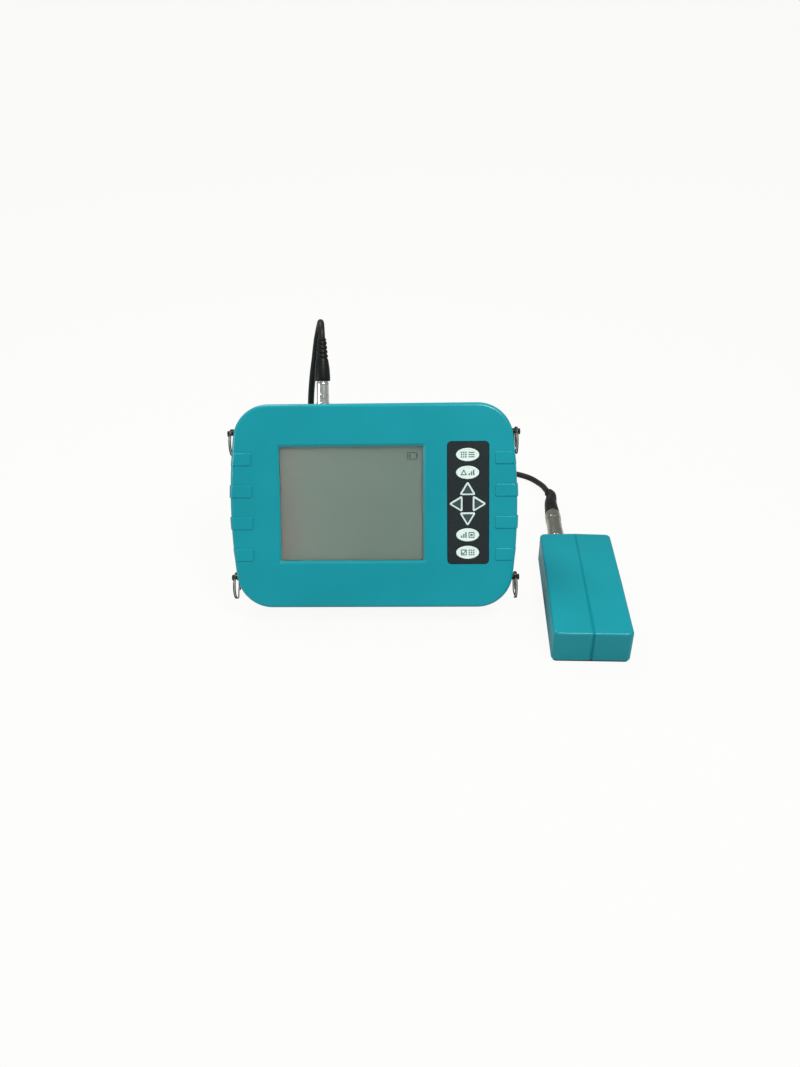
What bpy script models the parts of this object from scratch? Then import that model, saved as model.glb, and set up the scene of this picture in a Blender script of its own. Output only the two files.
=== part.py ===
"""Concrete cover meter: a tilted display unit with keys, and a block-shaped probe on a cable.

Units are metres, +Z is up, +X is to the reader's right and +Y points away from the reader.
The origin lies on the surface that the meter stands on, under the middle of the unit and probe.
"""

import math

import bmesh
import bpy
from mathutils import Euler, Matrix, Vector

# Fits shared by all pieces
GAP = 0.0003
HOLE_PLAY = 0.0003
ARC_STEPS = 5
SIDE_STEPS = 4
TURN_STEPS = 14
SMALL_STEPS = 8
STUD_STEPS = 12
OVAL_STEPS = 16

# Display unit: case
CASE_WIDTH = 0.240
CASE_HEIGHT = 0.171
FRONT_DEPTH = 0.022
REAR_DEPTH = 0.024
CORNER_RADIUS = 0.030
SIDE_RADIUS = 0.480
WALL = 0.0025
RIM_RADIUS = 0.0032
BACK_RADIUS = 0.005
LEAN_BACK = math.radians(29)
UNIT_X = -0.0427
UNIT_Y = 0.0228

# Grip pads on both sides of the face
PAD_COUNT = 4
PAD_PITCH = 0.0268
PAD_HEIGHT = 0.0107
PAD_REACH = 0.0184
PAD_INNER_X = CASE_WIDTH / 2 - PAD_REACH
PAD_PROUD = 0.0009
PAD_SIDE_RADIUS = 0.330
PAD_LOW = 0.004

# Display window
WINDOW_LEFT_EDGE = 0.0418
WINDOW_TOP_EDGE = 0.0354
WINDOW_BOTTOM_EDGE = 0.0400
WINDOW_PANEL_BRIDGE = 0.0200
WINDOW_CHAMFER = 0.0025
WINDOW_CORNER = 0.0015
LENS_THICKNESS = 0.0016
LENS_MARGIN = 0.004
FRAME_LIP = 0.0008
FRAME_WALL = 0.0012
FRAME_DEPTH = 0.0075
GLASS_THICKNESS = 0.003
BOARD_THICKNESS = 0.0016

# Keypad
PANEL_WIDTH = 0.0344
PANEL_HEIGHT = 0.102
PANEL_RIGHT_EDGE = 0.0238
PANEL_X = CASE_WIDTH / 2 - PANEL_RIGHT_EDGE - PANEL_WIDTH / 2
PANEL_Y = 0.0026
PANEL_CORNER = 0.0028
PANEL_THICKNESS = 0.0012
PANEL_SUNK = 0.0004
PANEL_LEDGE = 0.0011
KEY_SHIFT_X = 0.0004
KEY_X = PANEL_X - KEY_SHIFT_X
KEY_PROUD = 0.0008
KEY_TRAVEL = 0.0008
KEY_FLANGE = 0.0003
KEY_FLANGE_THICKNESS = 0.0012
KEY_ROUND = 0.0005
OVAL_WIDTH = 0.0191
OVAL_HEIGHT = 0.0109
OVAL_KEYS_Y = (0.0427, 0.0280, -0.0240, -0.0387)
ARROW_BASE = 0.0142
ARROW_HEIGHT = 0.0118
ARROW_CORNER = 0.0013
ARROW_CROSS_Y = 0.0020
ARROW_REACH_X = 0.0082
ARROW_REACH_Y = 0.0112
SWITCH_RADIUS = 0.003
SWITCH_HEIGHT = 0.002
KEY_BOARD_MARGIN = 0.004
KEY_BOARD_POST_Y = 0.032

# The window takes the space that the edges and the keypad leave
WINDOW_ACROSS = WINDOW_LEFT_EDGE + WINDOW_PANEL_BRIDGE + PANEL_WIDTH + PANEL_RIGHT_EDGE
WINDOW_WIDTH = CASE_WIDTH - WINDOW_ACROSS
WINDOW_HEIGHT = CASE_HEIGHT - WINDOW_TOP_EDGE - WINDOW_BOTTOM_EDGE
WINDOW_X = WINDOW_LEFT_EDGE + WINDOW_WIDTH / 2 - CASE_WIDTH / 2
WINDOW_Y = WINDOW_BOTTOM_EDGE + WINDOW_HEIGHT / 2 - CASE_HEIGHT / 2

# Strap studs and split rings
STUD_EDGE_Y = 0.0241
STUD_Y = CASE_HEIGHT / 2 - STUD_EDGE_Y
STUD_Z = 0.010
STUD_SEAT_PROUD = 0.0003
STUD_SEAT_RADIUS = 0.0032
STUD_FLANGE_RADIUS = 0.0027
STUD_FLANGE = 0.0018
STUD_NECK_RADIUS = 0.0016
STUD_NECK = 0.0028
STUD_HEAD_RADIUS = 0.0025
STUD_HEAD = 0.0016
STUD_SHANK_RADIUS = 0.0014
STUD_SHANK = 0.007
RING_MEAN_RADIUS = 0.0110
RING_WIRE_RADIUS = 0.00055
RING_COIL_OFFSET = 0.00065

# Inside the display unit
SEAL_THICKNESS = 0.0012
SEAL_HALF_HEIGHT = 0.0012
SCREW_EDGE_X = 0.028
SCREW_EDGE_Y = 0.0195
SCREW_X = CASE_WIDTH / 2 - SCREW_EDGE_X
SCREW_Y = CASE_HEIGHT / 2 - SCREW_EDGE_Y
SCREW_BOSS_RADIUS = 0.0042
SCREW_RADIUS = 0.0014
SCREW_HEAD_RADIUS = 0.0029
SCREW_HEAD = 0.0022
SCREW_SEAT_DEPTH = 0.016
SCREW_LENGTH = 0.018
MAIN_BOARD_RIGHT_EDGE = 0.0318
MAIN_BOARD_HEIGHT = 0.090
MAIN_BOARD_EDGE_X = 0.0038
MAIN_BOARD_EDGE_Y = 0.0185
MAIN_BOARD_WIDTH = 2 * (SCREW_X - SCREW_BOSS_RADIUS) - MAIN_BOARD_EDGE_X - MAIN_BOARD_RIGHT_EDGE
MAIN_BOARD_X = MAIN_BOARD_EDGE_X + SCREW_BOSS_RADIUS - SCREW_X + MAIN_BOARD_WIDTH / 2
MAIN_BOARD_Y = MAIN_BOARD_EDGE_Y + MAIN_BOARD_HEIGHT / 2 - CASE_HEIGHT / 2
MAIN_BOARD_Z = -0.0034
# Share across and up the board, then width, depth and height of each chip or connector
BOARD_CHIPS = (
    (0.35, 0.42, 0.024, 0.024, 0.0020),
    (0.62, 0.48, 0.016, 0.012, 0.0018),
    (0.12, 0.22, 0.012, 0.010, 0.0050),
    (0.80, 0.12, 0.022, 0.006, 0.0060),
)
POST_RADIUS = 0.003

# Battery bay in the back
BATTERY_WIDTH = 0.096
BATTERY_COVER_EDGE = 0.003
BATTERY_CORNER = 0.003
BOARD_CORNER = 0.001
COVER_WIDTH = 0.112
COVER_EDGE_Y = 0.0115
COVER_HINGE_EDGE = 0.012
COVER_THICKNESS = 0.0022
COVER_CORNER = 0.004
COVER_LEDGE = 0.006
COVER_SCREW_INSET = 0.0045
LEDGE_THICKNESS = 0.0025

# Tilt stand in the back
STAND_WIDTH = 0.108
STAND_THICKNESS = 0.0042
STAND_LENGTH = 0.095
STAND_HINGE_HEIGHT = 0.1055
STAND_HINGE_Y = STAND_HINGE_HEIGHT - CASE_HEIGHT / 2
COVER_HEIGHT = CASE_HEIGHT - STAND_HINGE_HEIGHT - COVER_EDGE_Y - COVER_HINGE_EDGE
BATTERY_HEIGHT = COVER_HEIGHT - 2 * BATTERY_COVER_EDGE
BATTERY_Y = CASE_HEIGHT / 2 - COVER_EDGE_Y - COVER_HEIGHT / 2
STAND_HINGE_DEPTH = 0.0044
STAND_LEG_WIDTH = 0.015
STAND_FOOT_BAR = 0.013
STAND_TOP_BAR = 0.014
STAND_CORNER = 0.005
STAND_PLATE_START = 0.0012
BARREL_RADIUS = 0.0035
PIN_RADIUS = 0.0015
PIN_OVERHANG = 0.0035
FOOT_STRIP_WIDTH = 0.084
POCKET_MARGIN = 0.0006
POCKET_WALL = 0.0025
BACK_FOOT_WIDTH = 0.052
BACK_FOOT_HEIGHT = 0.008
BACK_FOOT_PROUD = 0.0014
BACK_FOOT_SUNK = 0.0008
BACK_FOOT_EDGE_X = 0.0325
BACK_FOOT_X = CASE_WIDTH / 2 - BACK_FOOT_EDGE_X
BACK_FOOT_EDGE_Y = 0.0555
BACK_FOOT_Y = BACK_FOOT_EDGE_Y - CASE_HEIGHT / 2

# Connector on the unit's top side
SOCKET_X = -0.044
SOCKET_Z = -0.0098
SOCKET_RADIUS = 0.0047
SOCKET_FLANGE_RADIUS = 0.0062
SOCKET_FLANGE = 0.0016
SOCKET_COLLAR_RADIUS = 0.0055
SOCKET_COLLAR = 0.0028
SOCKET_INSIDE = 0.009
SOCKET_BORE_RADIUS = 0.0042
NUT_RADIUS = 0.0075
NUT_THICKNESS = 0.0028
PLUG_NOSE_RADIUS = 0.0038
PLUG_NOSE = 0.006
PLUG_RADIUS = 0.0054
PLUG_LENGTH = 0.0148
BOOT_BASE_RADIUS = 0.0066
BOOT_TIP_RADIUS = 0.0038
BOOT_LENGTH = 0.036

# Probe
PROBE_WIDTH = 0.0637
PROBE_LENGTH = 0.1386
PROBE_HEIGHT = 0.0309
PROBE_X = 0.1340
PROBE_Y = -0.0827
PROBE_YAW = math.radians(-1.4)
PROBE_WALL = 0.003
PROBE_EDGE_RADIUS = 0.0045
PROBE_TOP_RADIUS = 0.0022
PROBE_RIDGE_START = 0.096
PROBE_ARM_START = 0.065
PROBE_REAR_DROP = 0.0012
GROOVE_DEPTH = 0.0015
SOLE_THICKNESS = 0.0022
SOLE_INSET = 0.0012
PROBE_BOSS_RADIUS = 0.004
PROBE_SCREW_INSET = 0.0095
PROBE_SCREW_LENGTH = 0.010
PROBE_SCREW_HEAD = 0.0012
FORMER_WIDTH = 0.034
FORMER_LENGTH = 0.098
FORMER_HEIGHT = 0.011
WINDING_THICKNESS = 0.006
PROBE_BOARD_WIDTH = 0.046
PROBE_BOARD_LENGTH = 0.104
PROBE_SOCKET_X = -0.0150
PROBE_SOCKET_Z = 0.0170
PROBE_SOCKET_FLANGE_RADIUS = 0.0086
PROBE_SOCKET_COLLAR = 0.006
PROBE_PLUG_RADIUS = 0.0074
PROBE_PLUG_LENGTH = 0.042
PROBE_BOOT_TIP_RADIUS = 0.0044

# Probe cable, with its route chosen by hand
CABLE_RADIUS = 0.0029
COIL_TURNS_WIDE = 3
COIL_TURNS_HIGH = 2
COIL_MEAN_RADIUS = 0.029
COIL_X = -0.0033
COIL_Y = 0.1531
COIL_LOW = 0.0012
TIE_THICKNESS = 0.0006
TIE_CLEARANCE = 0.0006
TIE_WIDTH = 0.006
TIE_ANGLE = math.radians(-60)
CABLE_SIDES = 2
# The drop starts at the boot of the meter plug and ends beside the coil
DROP_ROUTE = [
    (-0.0868, 0.1020, 0.2072),
    (-0.0869, 0.1039, 0.2107),
    (-0.0873, 0.1086, 0.2154),
    (-0.0882, 0.1148, 0.2171),
    (-0.0897, 0.1211, 0.2154),
    (-0.0917, 0.1256, 0.2109),
    (-0.0935, 0.1273, 0.2046),
    (-0.0950, 0.1278, 0.1950),
    (-0.0973, 0.1275, 0.1790),
    (-0.1022, 0.1272, 0.1530),
    (-0.1051, 0.1272, 0.1280),
    (-0.1064, 0.1271, 0.1000),
    (-0.1052, 0.1276, 0.0600),
    (-0.1017, 0.1286, 0.0320),
    (-0.0950, 0.1296, 0.0150),
    (-0.0850, 0.1301, 0.0060),
    (-0.0733, 0.1296, 0.0034),
    (-0.0608, 0.1276, 0.0031),
    (-0.0511, 0.1293, 0.0032),
    (-0.0458, 0.1378, 0.0036),
]
# The lead starts beside the coil and ends at the boot of the probe plug
LEAD_ROUTE = [
    (0.0127, 0.1927, 0.0037),
    (0.0277, 0.1934, 0.0032),
    (0.0437, 0.1961, 0.0031),
    (0.0600, 0.2010, 0.0031),
    (0.0760, 0.2040, 0.0031),
    (0.0890, 0.2033, 0.0031),
    (0.0971, 0.2008, 0.0032),
    (0.1050, 0.1960, 0.0037),
    (0.1122, 0.1885, 0.0048),
    (0.1176, 0.1780, 0.0068),
    (0.1214, 0.1674, 0.0092),
    (0.1232, 0.1588, 0.0108),
]
PROBE_BOOT_END = (0.1251, 0.1501, 0.0124)

UNIT_FRONT = FRONT_DEPTH
UNIT_BACK = -REAR_DEPTH
FACE_INSIDE = FRONT_DEPTH - WALL
BACK_INSIDE = -REAR_DEPTH + WALL
RIM_GAP = GAP / 2


def clear_scene():
    """Remove whatever the file holds, so that the model starts empty."""
    for thing in list(bpy.data.objects):
        bpy.data.objects.remove(thing, do_unlink=True)


def make_collection(name):
    collection = bpy.data.collections.new(name)
    bpy.context.scene.collection.children.link(collection)
    return collection


clear_scene()
PARTS = make_collection("concrete_cover_meter")
CUTTERS = make_collection("cutters")


def make_material(name, colour, roughness, metallic=0.0):
    """One plain surface, with the colour given as linear red, green and blue."""
    material = bpy.data.materials.new(name)
    material.use_nodes = True
    shader = material.node_tree.nodes["Principled BSDF"]
    shader.inputs["Base Color"].default_value = (*colour, 1.0)
    shader.inputs["Roughness"].default_value = roughness
    shader.inputs["Metallic"].default_value = metallic
    return material


TEAL = (0.010, 0.325, 0.390)
BLACK = (0.012, 0.013, 0.014)
DARK_GREY = (0.035, 0.042, 0.048)
STEEL = (0.55, 0.56, 0.54)
BOARD_GREEN = (0.020, 0.140, 0.060)


# Outlines

def arc(centre_x, centre_y, radius, start, end, steps):
    """Points along an arc, both ends included."""
    points = []
    for step in range(steps + 1):
        angle = start + (end - start) * step / steps
        points.append((centre_x + radius * math.cos(angle), centre_y + radius * math.sin(angle)))
    return points


def bowed_outline(half_width, half_height, corner, side_radius, steps=ARC_STEPS):
    """Rounded rectangle whose left and right sides bow outwards."""
    side_centre = half_width - side_radius
    corner_y = half_height - corner
    corner_x = side_centre + math.sqrt((side_radius - corner) ** 2 - corner_y ** 2)
    lean = math.asin(corner_y / (side_radius - corner))
    half = arc(side_centre, 0.0, side_radius, -lean, lean, SIDE_STEPS)[:-1]
    half += arc(corner_x, corner_y, corner, lean, math.pi / 2, steps)
    other = [(-x, -y) for x, y in half]
    lower_right = arc(corner_x, -corner_y, corner, -math.pi / 2, -lean, steps)[:-1]
    upper_left = [(-x, -y) for x, y in lower_right]
    return half + upper_left + other + lower_right


def side_at(y):
    """Half width of the case at a distance y above or below its middle."""
    side_centre = CASE_WIDTH / 2 - SIDE_RADIUS
    corner_y = CASE_HEIGHT / 2 - CORNER_RADIUS
    corner_x = side_centre + math.sqrt((SIDE_RADIUS - CORNER_RADIUS) ** 2 - corner_y ** 2)
    if abs(y) < SIDE_RADIUS * corner_y / (SIDE_RADIUS - CORNER_RADIUS):
        return side_centre + math.sqrt(SIDE_RADIUS ** 2 - y ** 2)
    return corner_x + math.sqrt(CORNER_RADIUS ** 2 - (abs(y) - corner_y) ** 2)


STUD_SEAT_X = side_at(STUD_Y) + STUD_SEAT_PROUD


def case_outline(inset=0.0):
    return bowed_outline(
        CASE_WIDTH / 2 - inset, CASE_HEIGHT / 2 - inset, CORNER_RADIUS - inset, SIDE_RADIUS - inset
    )


def pad_outline():
    """Outline of the grip pads, which bow more than the case does."""
    return bowed_outline(
        CASE_WIDTH / 2 + PAD_PROUD, CASE_HEIGHT / 2 - CORNER_RADIUS / 2, CORNER_RADIUS / 2, PAD_SIDE_RADIUS
    )


def rounded_rectangle(width, height, corner, centre=(0.0, 0.0), steps=3):
    points = []
    reach_x = width / 2 - corner
    reach_y = height / 2 - corner
    for quarter, (side_x, side_y) in enumerate(((1, 1), (-1, 1), (-1, -1), (1, -1))):
        start = quarter * math.pi / 2
        middle = (centre[0] + side_x * reach_x, centre[1] + side_y * reach_y)
        points += arc(*middle, corner, start, start + math.pi / 2, steps)
    return points


def oval(width, height, centre=(0.0, 0.0), steps=OVAL_STEPS):
    points = []
    for step in range(steps):
        angle = 2 * math.pi * step / steps
        points.append((centre[0] + width / 2 * math.cos(angle), centre[1] + height / 2 * math.sin(angle)))
    return points


def arrow_outline(turn, grow=0.0, centre=(0.0, 0.0)):
    """Triangle with rounded corners; turn 0 points up the face, grow sets the edge outwards."""
    slant = math.hypot(ARROW_BASE / 2, ARROW_HEIGHT)
    inner_radius = ARROW_BASE * ARROW_HEIGHT / (ARROW_BASE + 2 * slant)
    scale = (inner_radius + grow) / inner_radius
    corner = ARROW_CORNER + grow
    base_angle = math.atan2(ARROW_HEIGHT, ARROW_BASE / 2)
    corners = [
        (ARROW_BASE / 2, -inner_radius, base_angle, -math.pi / 2),
        (0.0, ARROW_HEIGHT - inner_radius, math.pi - 2 * base_angle, math.pi / 2 - base_angle),
        (-ARROW_BASE / 2, -inner_radius, base_angle, math.pi / 2 + base_angle),
    ]
    points = []
    for x, y, opening, start in corners:
        vertex = Vector((x, y)) * scale
        inward = -vertex.normalized()
        middle = vertex + inward * corner / math.sin(opening / 2)
        points += arc(middle.x, middle.y, corner, start, start + math.pi - opening, 3)
    cosine = math.cos(turn)
    sine = math.sin(turn)
    return [(centre[0] + x * cosine - y * sine, centre[1] + x * sine + y * cosine) for x, y in points]


# Meshes

def add_object(name, data, material=None, parent=None, collection=PARTS):
    thing = bpy.data.objects.new(name, data)
    collection.objects.link(thing)
    if material is not None:
        data.materials.clear()
        data.materials.append(material)
    thing.parent = parent
    return thing


def curve_to_mesh(curve, name):
    """Turn a curve into a mesh with welded caps and remove the curve."""
    holder = bpy.data.objects.new(name, curve)
    PARTS.objects.link(holder)
    graph = bpy.context.evaluated_depsgraph_get()
    mesh = bpy.data.meshes.new_from_object(holder.evaluated_get(graph))
    mesh.name = name
    bpy.data.objects.remove(holder, do_unlink=True)
    bpy.data.curves.remove(curve)
    shape = bmesh.new()
    shape.from_mesh(mesh)
    bmesh.ops.remove_doubles(shape, verts=shape.verts, dist=1e-6)
    shape.to_mesh(mesh)
    shape.free()
    return mesh


def join_flat_faces(shape, direction=Vector((0, 0, 1))):
    """Dissolve the inner edges of the flat end faces."""
    flat = []
    for edge in shape.edges:
        normals = [face.normal for face in edge.link_faces]
        if len(normals) == 2 and all(abs(normal.dot(direction)) > 0.9999 for normal in normals):
            flat.append(edge)
    bmesh.ops.dissolve_limit(shape, angle_limit=math.radians(0.5), verts=[], edges=flat)


def plate_mesh(name, loops, low, high):
    """Straight-walled plate: the first loop is its outline and the others are holes."""
    curve = bpy.data.curves.new(name, "CURVE")
    curve.dimensions = "2D"
    curve.fill_mode = "BOTH"
    curve.extrude = (high - low) / 2
    for loop in loops:
        spline = curve.splines.new("POLY")
        spline.points.add(len(loop) - 1)
        for point, (x, y) in zip(spline.points, loop):
            point.co = (x, y, 0, 1)
        spline.use_cyclic_u = True
    mesh = curve_to_mesh(curve, name)
    shape = bmesh.new()
    shape.from_mesh(mesh)
    bmesh.ops.recalc_face_normals(shape, faces=shape.faces)
    bmesh.ops.translate(shape, verts=shape.verts, vec=(0, 0, (low + high) / 2))
    join_flat_faces(shape)
    shape.to_mesh(mesh)
    shape.free()
    return mesh


def round_rim(mesh, height, radius, segments):
    """Round every edge that lies at one height, such as the rim of a plate."""
    shape = bmesh.new()
    shape.from_mesh(mesh)
    shape.edges.ensure_lookup_table()
    rim = []
    for edge in shape.edges:
        at_height = all(abs(vertex.co.z - height) < 1e-6 for vertex in edge.verts)
        walls = [face for face in edge.link_faces if abs(face.normal.z) < 0.5]
        if at_height and walls:
            rim.append(edge)
    bmesh.ops.bevel(
        shape, geom=rim, offset=radius, segments=segments, profile=0.5, affect="EDGES",
        offset_type="OFFSET", clamp_overlap=True, material=-1,
    )
    shape.to_mesh(mesh)
    shape.free()


def flare_top(mesh, height, centre, spread):
    """Push the points at one height outwards, for a chamfered opening."""
    for vertex in mesh.vertices:
        if abs(vertex.co.z - height) < 1e-6:
            vertex.co.x += math.copysign(spread, vertex.co.x - centre[0])
            vertex.co.y += math.copysign(spread, vertex.co.y - centre[1])


def turned_mesh(name, profile, steps=TURN_STEPS):
    """Solid of revolution about Z; the profile runs down the outer side, from the top to the bottom."""
    shape = bmesh.new()
    last = None
    for radius, height in profile:
        vertex = shape.verts.new((radius, 0, height))
        if last is not None:
            shape.edges.new((last, vertex))
        last = vertex
    bmesh.ops.spin(
        shape, geom=shape.verts[:] + shape.edges[:], axis=(0, 0, 1), cent=(0, 0, 0),
        angle=2 * math.pi, steps=steps, use_merge=True,
    )
    bmesh.ops.remove_doubles(shape, verts=shape.verts, dist=1e-6)
    bmesh.ops.recalc_face_normals(shape, faces=shape.faces)
    mesh = bpy.data.meshes.new(name)
    shape.to_mesh(mesh)
    shape.free()
    mesh.shade_smooth()
    mesh.set_sharp_from_angle(angle=math.radians(35))
    return mesh


def block_mesh(name, boxes):
    """Separate boxes in one mesh, each given as its low corner and its high corner."""
    shape = bmesh.new()
    for low, high in boxes:
        size = Vector(high) - Vector(low)
        place = Matrix.Translation((Vector(low) + Vector(high)) / 2) @ Matrix.Diagonal((*size, 1.0))
        bmesh.ops.create_cube(shape, size=1.0, matrix=place)
    mesh = bpy.data.meshes.new(name)
    shape.to_mesh(mesh)
    shape.free()
    return mesh


def post_mesh(name, posts, axis="Z", sides=SMALL_STEPS):
    """Separate round posts, each given as (x, y, z of one end, length along the axis, radius)."""
    turns = {"X": Euler((0, math.pi / 2, 0)), "Y": Euler((-math.pi / 2, 0, 0)), "Z": Euler((0, 0, 0))}
    turn = turns[axis].to_matrix().to_4x4()
    shape = bmesh.new()
    for x, y, z, length, radius in posts:
        place = Matrix.Translation((x, y, z)) @ turn @ Matrix.Translation((0, 0, length / 2))
        bmesh.ops.create_cone(
            shape, cap_ends=True, segments=sides, radius1=radius, radius2=radius, depth=length, matrix=place
        )
    mesh = bpy.data.meshes.new(name)
    shape.to_mesh(mesh)
    shape.free()
    return mesh


def tube_mesh(name, points, radius, radii=None, sides=CABLE_SIDES):
    """Round tube along a line of points, with filled caps; radii scale the radius at each point."""
    curve = bpy.data.curves.new(name, "CURVE")
    curve.dimensions = "3D"
    curve.bevel_depth = radius
    curve.bevel_resolution = sides
    curve.use_fill_caps = True
    curve.twist_mode = "MINIMUM"
    spline = curve.splines.new("POLY")
    spline.points.add(len(points) - 1)
    for index, (point, place) in enumerate(zip(spline.points, points)):
        point.co = (*place, 1)
        if radii is not None:
            point.radius = radii[index]
    mesh = curve_to_mesh(curve, name)
    mesh.shade_smooth()
    mesh.set_sharp_from_angle(angle=math.radians(50))
    return mesh


def combine(thing, operation, cutter_mesh, name):
    """Add a Boolean to a piece, with a cutter that sits in the piece's own frame."""
    cutter = add_object(name, cutter_mesh, collection=CUTTERS)
    cutter.parent = thing
    cutter.hide_render = True
    cutter.display_type = "WIRE"
    modifier = thing.modifiers.new(name, "BOOLEAN")
    modifier.operation = operation
    modifier.solver = "EXACT"
    modifier.object = cutter
    return cutter


def smooth_route(points, spacing):
    """Evenly spaced points on a smooth curve through the route's own points."""
    dense = []
    vectors = [Vector(point) for point in points]
    ends = [vectors[0] * 2 - vectors[1]] + vectors + [vectors[-1] * 2 - vectors[-2]]
    for before, start, end, after in zip(ends, ends[1:], ends[2:], ends[3:]):
        for step in range(20):
            t = step / 20
            place = 0.5 * (
                2 * start + (end - before) * t + (2 * before - 5 * start + 4 * end - after) * t * t
                + (3 * start - before - 3 * end + after) * t ** 3
            )
            dense.append(place)
    dense.append(vectors[-1])
    lengths = [0.0]
    for start, end in zip(dense, dense[1:]):
        lengths.append(lengths[-1] + (end - start).length)
    count = max(2, round(lengths[-1] / spacing))
    places = []
    index = 0
    for step in range(count + 1):
        target = lengths[-1] * step / count
        while index < len(dense) - 2 and lengths[index + 1] < target:
            index += 1
        share = (target - lengths[index]) / (lengths[index + 1] - lengths[index])
        places.append(dense[index].lerp(dense[index + 1], min(1.0, share)))
    return places


# Display unit

def front_shell(unit, material):
    """Front casing: a bowed tray with grip pads, a chamfered window and a sunk keypad."""
    body = plate_mesh("front_shell", [case_outline()], RIM_GAP, UNIT_FRONT)
    round_rim(body, UNIT_FRONT, RIM_RADIUS, 3)
    shell = add_object("front_shell", body, material, unit)

    pad_top = UNIT_FRONT + PAD_PROUD
    pads = plate_mesh("grip_pads", [pad_outline()], PAD_LOW, pad_top)
    round_rim(pads, pad_top, RIM_RADIUS + PAD_PROUD, 3)
    pads_cutter = combine(shell, "UNION", pads, "grip_pads")
    boxes = []
    for index in range(PAD_COUNT):
        middle = (index - (PAD_COUNT - 1) / 2) * PAD_PITCH
        for side in (-1, 1):
            reach = sorted((side * PAD_INNER_X, side * CASE_WIDTH))
            low = (reach[0], middle - PAD_HEIGHT / 2, -REAR_DEPTH)
            high = (reach[1], middle + PAD_HEIGHT / 2, FRONT_DEPTH * 2)
            boxes.append((low, high))
    combine(pads_cutter, "INTERSECT", block_mesh("pad_limits", boxes), "pad_limits")

    cavity = plate_mesh("front_cavity", [case_outline(WALL)], -WALL, FACE_INSIDE)
    round_rim(cavity, FACE_INSIDE, RIM_RADIUS - WALL, 2)
    combine(shell, "DIFFERENCE", cavity, "front_cavity")

    bosses = []
    for x in (-SCREW_X, SCREW_X):
        for y in (-SCREW_Y, SCREW_Y):
            bosses.append((x, y, RIM_GAP, FACE_INSIDE + WALL / 2 - RIM_GAP, SCREW_BOSS_RADIUS))
    combine(shell, "UNION", post_mesh("front_bosses", bosses), "front_bosses")
    seats = []
    for y in (-STUD_Y, STUD_Y):
        depth = STUD_SHANK + WALL
        seats.append((STUD_SEAT_X - depth, y, STUD_Z, depth, STUD_SEAT_RADIUS))
        seats.append((-STUD_SEAT_X, y, STUD_Z, depth, STUD_SEAT_RADIUS))
    combine(shell, "UNION", post_mesh("stud_seats", seats, "X"), "stud_seats")

    window = plate_mesh(
        "window_opening",
        [rounded_rectangle(WINDOW_WIDTH, WINDOW_HEIGHT, WINDOW_CORNER, (WINDOW_X, WINDOW_Y))],
        FACE_INSIDE + WALL / 4, UNIT_FRONT + WALL / 10,
    )
    flare_top(window, UNIT_FRONT + WALL / 10, (WINDOW_X, WINDOW_Y), WINDOW_CHAMFER)
    combine(shell, "DIFFERENCE", window, "window_opening")
    through = plate_mesh(
        "window_edge",
        [rounded_rectangle(WINDOW_WIDTH, WINDOW_HEIGHT, WINDOW_CORNER, (WINDOW_X, WINDOW_Y))],
        FACE_INSIDE - WALL, FACE_INSIDE + WALL / 2,
    )
    combine(shell, "DIFFERENCE", through, "window_edge")

    pocket = plate_mesh(
        "keypad_pocket",
        [rounded_rectangle(PANEL_WIDTH + 2 * GAP, PANEL_HEIGHT + 2 * GAP, PANEL_CORNER, (PANEL_X, PANEL_Y))],
        UNIT_FRONT - PANEL_SUNK - PANEL_THICKNESS - GAP, UNIT_FRONT + WALL,
    )
    combine(shell, "DIFFERENCE", pocket, "keypad_pocket")
    opening = plate_mesh(
        "keypad_opening",
        [rounded_rectangle(
            PANEL_WIDTH - 2 * PANEL_LEDGE,
            PANEL_HEIGHT - 2 * PANEL_LEDGE,
            PANEL_CORNER / 2,
            (PANEL_X, PANEL_Y),
        )],
        FACE_INSIDE - WALL, UNIT_FRONT,
    )
    combine(shell, "DIFFERENCE", opening, "keypad_opening")

    holes = []
    hole_depth = SCREW_SEAT_DEPTH + SCREW_LENGTH - REAR_DEPTH + WALL
    for x in (-SCREW_X, SCREW_X):
        for y in (-SCREW_Y, SCREW_Y):
            holes.append((x, y, -WALL, hole_depth + WALL, SCREW_RADIUS + HOLE_PLAY))
    combine(shell, "DIFFERENCE", post_mesh("front_screw_holes", holes), "front_screw_holes")
    stud_holes = []
    for y in (-STUD_Y, STUD_Y):
        depth = STUD_SHANK + 2 * GAP
        stud_holes.append((STUD_SEAT_X - depth, y, STUD_Z, depth + WALL, STUD_SHANK_RADIUS + HOLE_PLAY))
        stud_holes.append((-STUD_SEAT_X - WALL, y, STUD_Z, depth + WALL, STUD_SHANK_RADIUS + HOLE_PLAY))
    combine(shell, "DIFFERENCE", post_mesh("stud_holes", stud_holes, "X"), "stud_holes")
    return shell


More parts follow.
